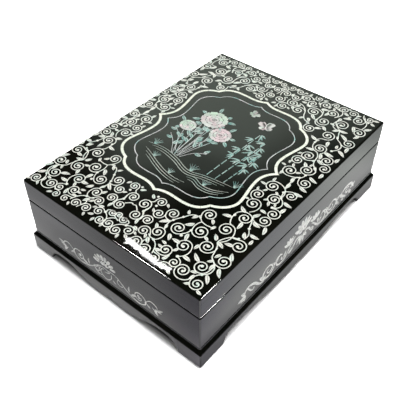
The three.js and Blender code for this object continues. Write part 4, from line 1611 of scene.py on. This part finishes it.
longHalf = {
    "strokes": [
        (2.8, [(1.6, 45), (7, 50.4), (13.4, 48.6), (17, 44), (20.4, 40), (25, 37.8)]),
        (2.4, [(19, 51), (24, 48.4), (29, 42), (36, 36.6), (44.4, 37.2), (49.4, 42.4), (48, 48.4),
               (43, 51.6), (38.4, 48.6)]),
        (2.5, [(42, 53.4), (49, 51), (53, 45), (56.6, 39), (63, 35.8), (70.4, 37.6), (74.4, 43.2),
               (72.8, 49.4), (66.6, 53), (60.4, 51.4), (57, 46.6), (59.4, 42), (64, 41.4), (67, 44.8),
               (64.6, 47.6)]),
    ],
    "leaves": [
        (32, 49.6, 36, 39.4, 3.6), (40.6, 47, 38, 38.6, 2.8), (20, 44.6, 26, 38.4, 2.8),
        (52.6, 44, 55.6, 50.6, 2.6),
    ],
    "petals": [((26.2, 51.0), [(146, 40, 5, 3.6, 13.2), (132, 62, 3, 1.0, 4.4)])],
}
longOnce = {
    "strokes": [
        (3.6, [(81, 50), (86, 45.6), (91.6, 41), (99, 36.4)]),
        (3.6, [(84, 43.6), (86.6, 49.4), (93, 53), (100.4, 53.6), (107.6, 51.4), (112.4, 46.2),
               (117, 39.6)]),
        (2.4, [(105.4, 45), (101.6, 41.6), (97.4, 43), (97, 47.4), (100.6, 49.8), (103.6, 47.8)]),
        (3.0, [(26, 46.4), (31, 41), (38, 36.6), (46, 35.4), (53, 38)]),
        (3.2, [(-106.4, 46.6), (-105, 50.6), (-100, 52.6), (-93, 50.4), (-87.4, 46.4), (-83, 41.2),
               (-78, 37.2), (-72, 35.4)]),
        (2.2, [(-102, 51.2), (-98.4, 46.4), (-95, 42), (-91.4, 40.6), (-90, 43.6)]),
    ],
    "leaves": [
        (1.2, 50, 10.6, 40.4, 4.6), (-1.2, 50, -10.6, 40.4, 4.6), (0.8, 47, 3.8, 34.6, 4.0),
        (-0.8, 47, -3.8, 34.6, 4.0), (75, 44, 80.6, 51, 3.6), (107, 44, 119, 46.6, 4.6),
        (105, 40.6, 111.6, 33.6, 4.6), (76, 42, 82.6, 36, 3.8), (88, 38.6, 93, 34.6, 3.2),
        (60, 36.6, 52, 34.4, 3.2), (49, 52.6, 54.4, 47, 3.2), (-105.6, 45, -112.6, 51.6, 4.6),
        (-105, 43.6, -118, 40.6, 4.6), (-104.6, 42.6, -107.6, 35.4, 4.4),
        (-106, 42.6, -113.4, 36.4, 3.6), (-75, 39.4, -80.4, 48, 4.2), (-69, 41.4, -77, 36.4, 4.2),
    ],
    "petals": [((0.0, 54.0), [(148, 32, 6, 7.0, 20.0), (165, 15, 5, 1.8, 8.4)])],
}
wallDrawings = {
    "short": {
        "middle": -1.5,  # of the border, sideways on the wall
        "rise": -2.7,  # of the whole drawing, upwards
        "weight": 0.56,  # of strokes and leaves against the widths above
        "petalTip": 0.80,  # part of the sine arch at which a petal ends
        "half": shortHalf,
        "once": shortOnce,
    },
    "long": {
        "middle": 5.0, "rise": -2.4, "weight": 1.1, "petalTip": 0.93, "half": longHalf, "once": longOnce,
    },
}
wallShape = {
    "stations": 48,
    "least": 0.45,
    "fullness": 0.6,
    "rib": 0.3,
    "petalFoot": 0.10,
    "petalFill": 0.66,
}


# One set of strokes, leaves and petals. A stroke's width = weight times its own times swelling, which is a
# least share + the rest times a sine arch to a power. Turned over, x becomes -x and an angle 180 less it.
def drawSet(plan, part, mirror):
    drawing, middle, rise, weight = plan[part], plan["middle"], plan["rise"], plan["weight"]
    place = np.array([middle, rise])
    turn = np.array([mirror, 1.0])
    ways = [np.array(way, dtype=float) * turn + place for width, way in drawing["strokes"]]
    lines = np.array([smoothLine(way, wallShape["stations"]) for way in ways])
    share = np.linspace(0, 1, wallShape["stations"])
    least = wallShape["least"]
    swelling = least + (1 - least) * np.sin(math.pi * share) ** wallShape["fullness"]
    widths = np.array([width for width, way in drawing["strokes"]])
    parts = [shellStrips(lines, weight * widths[:, None] * swelling)]
    cut = np.array(drawing["leaves"], dtype=float)
    bases, tips = cut[:, :2] * turn + place, cut[:, 2:4] * turn + place
    parts += leafHalves(bases, tips, weight * cut[:, 4], rib=wallShape["rib"])
    arch = (wallShape["petalFoot"], plan["petalTip"])
    for (x, y), rows in drawing["petals"]:
        if mirror < 0:
            rows = [(180 - first, 180 - last, *others) for first, last, *others in rows]
        centre = (middle + mirror * x, y + rise)
        parts += petalRows(centre, rows, 1.0, wallShape["petalFill"], arch)
    return parts


for k, face in enumerate(sides):
    plan = wallDrawings[["short", "long"][k % 2]]
    parts = drawSet(plan, "half", 1) + drawSet(plan, "half", -1) + drawSet(plan, "once", 1)
    makeInlay(f"wall_scroll_{face}", face, [shadedShortWallShell, litWallShell][k % 2], parts)
print("walls: scroll borders")

# Floor, world, lamps and camera. The floor and the world have tones that only polished faces see. The
# world's stand for a room that is not as bright all round. The floor's are painted light and shade, darker
# by the box's faces and brighter off its near corner.
studio = {
    "floorSize": 8.0,
    "floorColour": 0.8,
    "open": 1.96,  # level of the floor as the camera sees it
    # Painted shadow under the box, as the camera sees the floor:
    "shadowUnderFront": (0.25, 0.93),  # that level deep under the front edge, and just behind the edge
    "shadowUnderSide": (0.08, 1.35),  # and under the right edge
    "whiteFrom": 0.55,  # metres from the middle, where the camera starts to see plain white
    "whiteBy": 1.1,
    # From besideNear to behind: painted light and shade of the floor as polished faces mirror it.
    "besideNear": (0.74, 0.74, 0.74, 1.0),  # right of the box, from its foot outwards
    "besideMiddle": (1.08, 1.09, 1.08, 1.0),
    "besideFront": (0.885, 0.90, 0.93, 1.0),
    "besideBack": (1.13, 1.18, 1.13, 1.0),
    "frontNear": (1.60, 1.60, 1.60, 1.0),  # in front of it, from its foot outwards
    "frontMiddle": (0.80, 0.80, 0.82, 1.0),
    "front": (0.63, 0.63, 0.65, 1.0),
    "leftMost": (1.28, 1.28, 1.28, 1.0),  # gain on that towards the left
    "corner": (0.72, 0.70, 0.76, 1.0),  # gain off the near corner
    "cornerMost": (1.7, 1.7, 1.7, 1.0),
    "behind": (0.66, 0.70, 0.67, 1.0),
    "ambient": 0.30,
    "room": (0.018, 0.020, 0.018, 1.0),
}

# Where one tone turns into the next, in metres out from the edge of the base. Those of left, back, corner
# and behind are counted from the middle of the floor, and those of one number are widths at the edge.
floorTurns = {
    "frontNear": (0.0, 0.030),
    "frontMiddle": (0.032, 0.048),
    "left": (0.04, 0.16),
    "leftAhead": (0.012, 0.032),
    "besideNear": (0.004, 0.018),
    "besideMiddle": (0.016, 0.034),
    "back": (0.0, 0.2),
    "side": 0.004,
    "corner": (0.21, 0.31),
    "cornerMost": 0.01,
    "behind": (0.18, 0.30),
    # Turns of the painted shadow under the box:
    "shadowUnderFront": [(-0.0068, -0.0040), (-0.0010, 0.0030)],
    "shadowUnderSide": [(-0.0085, -0.0040), (-0.0015, 0.0008)],
}
backWall = {
    "colour": (1.03, 1.18, 1.03, 1.0),  # a pale wall far off that the lid mirrors
    "foot": 31.0,  # degrees above the horizon
    "top": 40.8,
    "slope": 0.42,  # the top comes down by this much for each degree that it lies right of the bend
    "bend": 33.0,
    "right": 17.0,  # degrees round from straight back towards the left
    "left": 51.0,
    "faint": 0.6,  # share of its brightness at the right end
    "full": 40.0,  # where it is at its brightest
    "softness": 4.0,
    "footSoftness": 2.0,
    "horizon": -1.0,  # degrees, below which polished faces see white
}


# The floor. What the camera sees of it = the higher of two levels, each of which rises in two turns from
# deep under an edge to the open: a painted shadow under the box, over the floor's own lit shading. Polished
# faces see a tone that is mixed across and along the box.
def addFloor():
    half = studio["floorSize"] / 2
    corners = [(-half, -half, 0), (half, -half, 0), (half, half, 0), (-half, half, 0)]
    mesh = bpy.data.meshes.new("studio_floor")
    mesh.from_pydata(corners, [], [(0, 1, 2, 3)])
    material, tree = startFinish("studio_floor")
    path = tree.node("ShaderNodeLightPath", {}, {}, "Is Camera Ray")
    seen = path.most(path.other("Is Transmission Ray"))
    x = tree.node("ShaderNodeSeparateXYZ", {}, {0: tree.place()})
    y = x.other("Y")
    sideEdge, frontEdge = baseHalfWidth * mm, baseHalfLength * mm
    ahead = 0.0 - y - frontEdge
    front = tree.mixColour(ahead.rise(*floorTurns["frontNear"]), studio["frontNear"], studio["frontMiddle"])
    front = tree.mixColour(ahead.rise(*floorTurns["frontMiddle"]), front, studio["front"])
    lifted = tree.mixColour(1.0, front, studio["leftMost"], "MULTIPLY")
    leftward = (0.0 - x).rise(*floorTurns["left"]) * ahead.rise(*floorTurns["leftAhead"])
    front = tree.mixColour(leftward, front, lifted)
    aside = x - sideEdge
    outward = aside.rise(*floorTurns["besideNear"])
    beside = tree.mixColour(outward, studio["besideNear"], studio["besideMiddle"])
    farther = tree.mixColour(y.rise(*floorTurns["back"]), studio["besideFront"], studio["besideBack"])
    beside = tree.mixColour(aside.rise(*floorTurns["besideMiddle"]), beside, farther)
    mirroredLightAndShade = tree.mixColour(x.rise(sideEdge - floorTurns["side"], sideEdge), front, beside)
    cornered = tree.mixColour(1.0, mirroredLightAndShade, studio["corner"], "MULTIPLY")
    mirroredLightAndShade = tree.mixColour((x - y).rise(*floorTurns["corner"]), mirroredLightAndShade, cornered)
    width = floorTurns["cornerMost"]
    atCorner = x.rise(sideEdge, sideEdge + width) * (0.0 - y).rise(frontEdge, frontEdge + width)
    mirroredLightAndShade = tree.mixColour(atCorner, mirroredLightAndShade, studio["cornerMost"])
    mirroredLightAndShade = tree.mixColour(y.rise(*floorTurns["behind"]), mirroredLightAndShade, studio["behind"])
    paper = tree.node("ShaderNodeBsdfDiffuse", {}, {"Color": grey(studio["floorColour"])})
    # Polished faces see the floor lit as it is, times its painted light and shade.
    polished = tree.node("ShaderNodeBsdfDiffuse", {}, {"Color": mirroredLightAndShade})
    levels = []
    # Painted shadow: the level that the camera sees drops under the front and right edges.
    for key, beyond in (("shadowUnderFront", y.size() - frontEdge), ("shadowUnderSide", x.size() - sideEdge)):
        deep, shallow = studio[key]
        first, second = floorTurns[key]
        level = deep + beyond.rise(*first) * (shallow - deep)
        levels.append(level + beyond.rise(*second) * (studio["open"] - shallow))
    level = levels[0].most(levels[1])
    paintedShadowTone = tree.node("ShaderNodeCombineColor", {}, {0: level, 1: level, 2: level})
    seenWithShadow = tree.node("ShaderNodeBsdfDiffuse", {}, {"Color": paintedShadowTone})
    white = tree.node("ShaderNodeEmission", {}, {"Color": grey(1.0), "Strength": 1.0})
    far = x.size().most(y.size()).rise(studio["whiteFrom"], studio["whiteBy"])
    surface = tree.mixSurface(path.other("Is Glossy Ray"), paper, polished)
    surface = tree.mixSurface(seen, surface, tree.mixSurface(far, seenWithShadow, white))
    below = tree.node("ShaderNodeNewGeometry", out="Backfacing")
    nothing = tree.node("ShaderNodeBsdfTransparent", {}, {"Color": grey(1.0)})
    closeFinish(tree, tree.mixSurface(below, surface, nothing))
    mesh.materials.append(material)
    floor = bpy.data.objects.new("studio_floor", mesh)
    bpy.context.collection.objects.link(floor)


# As polished faces see it, the room is dark but for a pale wall behind and to the left. The wall = the
# product of four soft steps, at its foot, top and two ends, and of its brightness from right to left. The
# camera sees white, and everything is lit evenly by a little light from all round.
def setWorld():
    world = bpy.data.worlds.new("studio_world")
    world.use_nodes = True
    bpy.context.scene.world = world
    tree = Tree(world.node_tree)
    x = tree.node("ShaderNodeSeparateXYZ", {}, {0: tree.node("ShaderNodeTexCoord", out="Generated")})
    degrees = 180.0 / math.pi
    height = x.join("ARCSINE", x.other("Z")) * degrees
    turned = x.join("ARCTAN2", 0.0 - x, x.other("Y")) * degrees
    soft = backWall["softness"]
    top = backWall["top"] - (backWall["bend"] - turned).most(0.0) * backWall["slope"]
    wall = height.rise(backWall["foot"] - backWall["footSoftness"], backWall["foot"])
    wall = wall * (1.0 - height.rise(top - soft, top + soft))
    wall = wall * turned.rise(backWall["right"] - soft, backWall["right"] + soft)
    wall = wall * (1.0 - turned.rise(backWall["left"] - soft, backWall["left"] + soft))
    brighter = turned.rise(backWall["right"], backWall["full"])
    wall = wall * (backWall["faint"] + brighter * (1.0 - backWall["faint"]))
    mirrored = tree.mixColour(wall, studio["room"], backWall["colour"])
    mirrored = tree.mixColour(1.0 - height.rise(backWall["horizon"], 0.0), mirrored, grey(1.0))
    path = tree.node("ShaderNodeLightPath", {}, {}, "Is Camera Ray")
    glossy = path.other("Is Glossy Ray").most(path.other("Is Transmission Ray"))
    ambient, polished, plain = [
        tree.node("ShaderNodeBackground", {}, {"Color": colour, "Strength": strength})
        for colour, strength in ((grey(1.0), studio["ambient"]), (mirrored, 1.0), (grey(1.0), 1.0))
    ]
    surface = tree.mixSurface(path, tree.mixSurface(glossy, ambient, polished), plain)
    tree.node("ShaderNodeOutputWorld", {}, {"Surface": surface})


# One soft lamp lights the scene. The lid mirrors a ceiling tube near its front edge, and two strips show
# only as glints on the front and right arrises.
lamps = {
    "key_softbox": {
        "place": (0.28, -0.02, 1.65), "aim": (0.0, 0.0, 0.05), "size": (1.0, 1.0), "power": 27.0,
        "mirrored": False, "lights": True,
    },
    "ceiling_tube": {
        "place": (-1.059, 0.850, 1.834), "aim": None, "size": (0.29, 0.018), "power": 0.66,
        "mirrored": True, "lights": True,
    },
    "side_strip": {
        "place": (1.02, 0.78, 1.63), "aim": (0.124, -0.154, 0.106), "size": (0.12, 0.105), "power": 23.5,
        "mirrored": True, "lights": False,
    },
    "front_strip": {
        "place": (-0.82, -0.45, 1.65), "aim": (0.053, -0.171, 0.106), "size": (0.50, 0.12), "power": 54.0,
        "mirrored": True, "lights": False,
    },
}


# An oblong lamp that faces what it is aimed at, or straight down.
def addLamp(name, plan):
    light = bpy.data.lights.new(name, "AREA")
    light.shape = "RECTANGLE"
    light.size, light.size_y = plan["size"]
    light.energy = plan["power"]
    lamp = bpy.data.objects.new(name, light)
    lamp.location = plan["place"]
    if plan["aim"]:
        lamp.rotation_euler = (Vector(plan["aim"]) - lamp.location).to_track_quat("-Z", "Y").to_euler()
    lamp.visible_glossy = plan["mirrored"]
    lamp.visible_diffuse = plan["lights"]
    bpy.context.collection.objects.link(lamp)


# Places are in metres, and the lens and the sensor in mm.
camera = {
    "place": (0.3309, -0.4180, 0.5383),
    "aim": (0.0422, -0.0740, 0.1065),
    "lens": 53.94,
    "sensor": 36.0,
    "clip": (0.02, 50.0),
}


# The camera looks along the line from its place to its aim.
def addCamera():
    data = bpy.data.cameras.new("photo_camera")
    data.lens = camera["lens"]
    data.sensor_width = camera["sensor"]
    data.clip_start, data.clip_end = camera["clip"]
    view = bpy.data.objects.new("photo_camera", data)
    view.location = camera["place"]
    turn = (Vector(camera["aim"]) - Vector(camera["place"])).to_track_quat("-Z", "Y")
    view.rotation_euler = turn.to_euler()
    bpy.context.collection.objects.link(view)
    bpy.context.scene.camera = view


addFloor()
setWorld()
for name, plan in lamps.items():
    addLamp(name, plan)
addCamera()
bpy.context.scene.view_settings.view_transform = "Standard"
print("studio: ready")
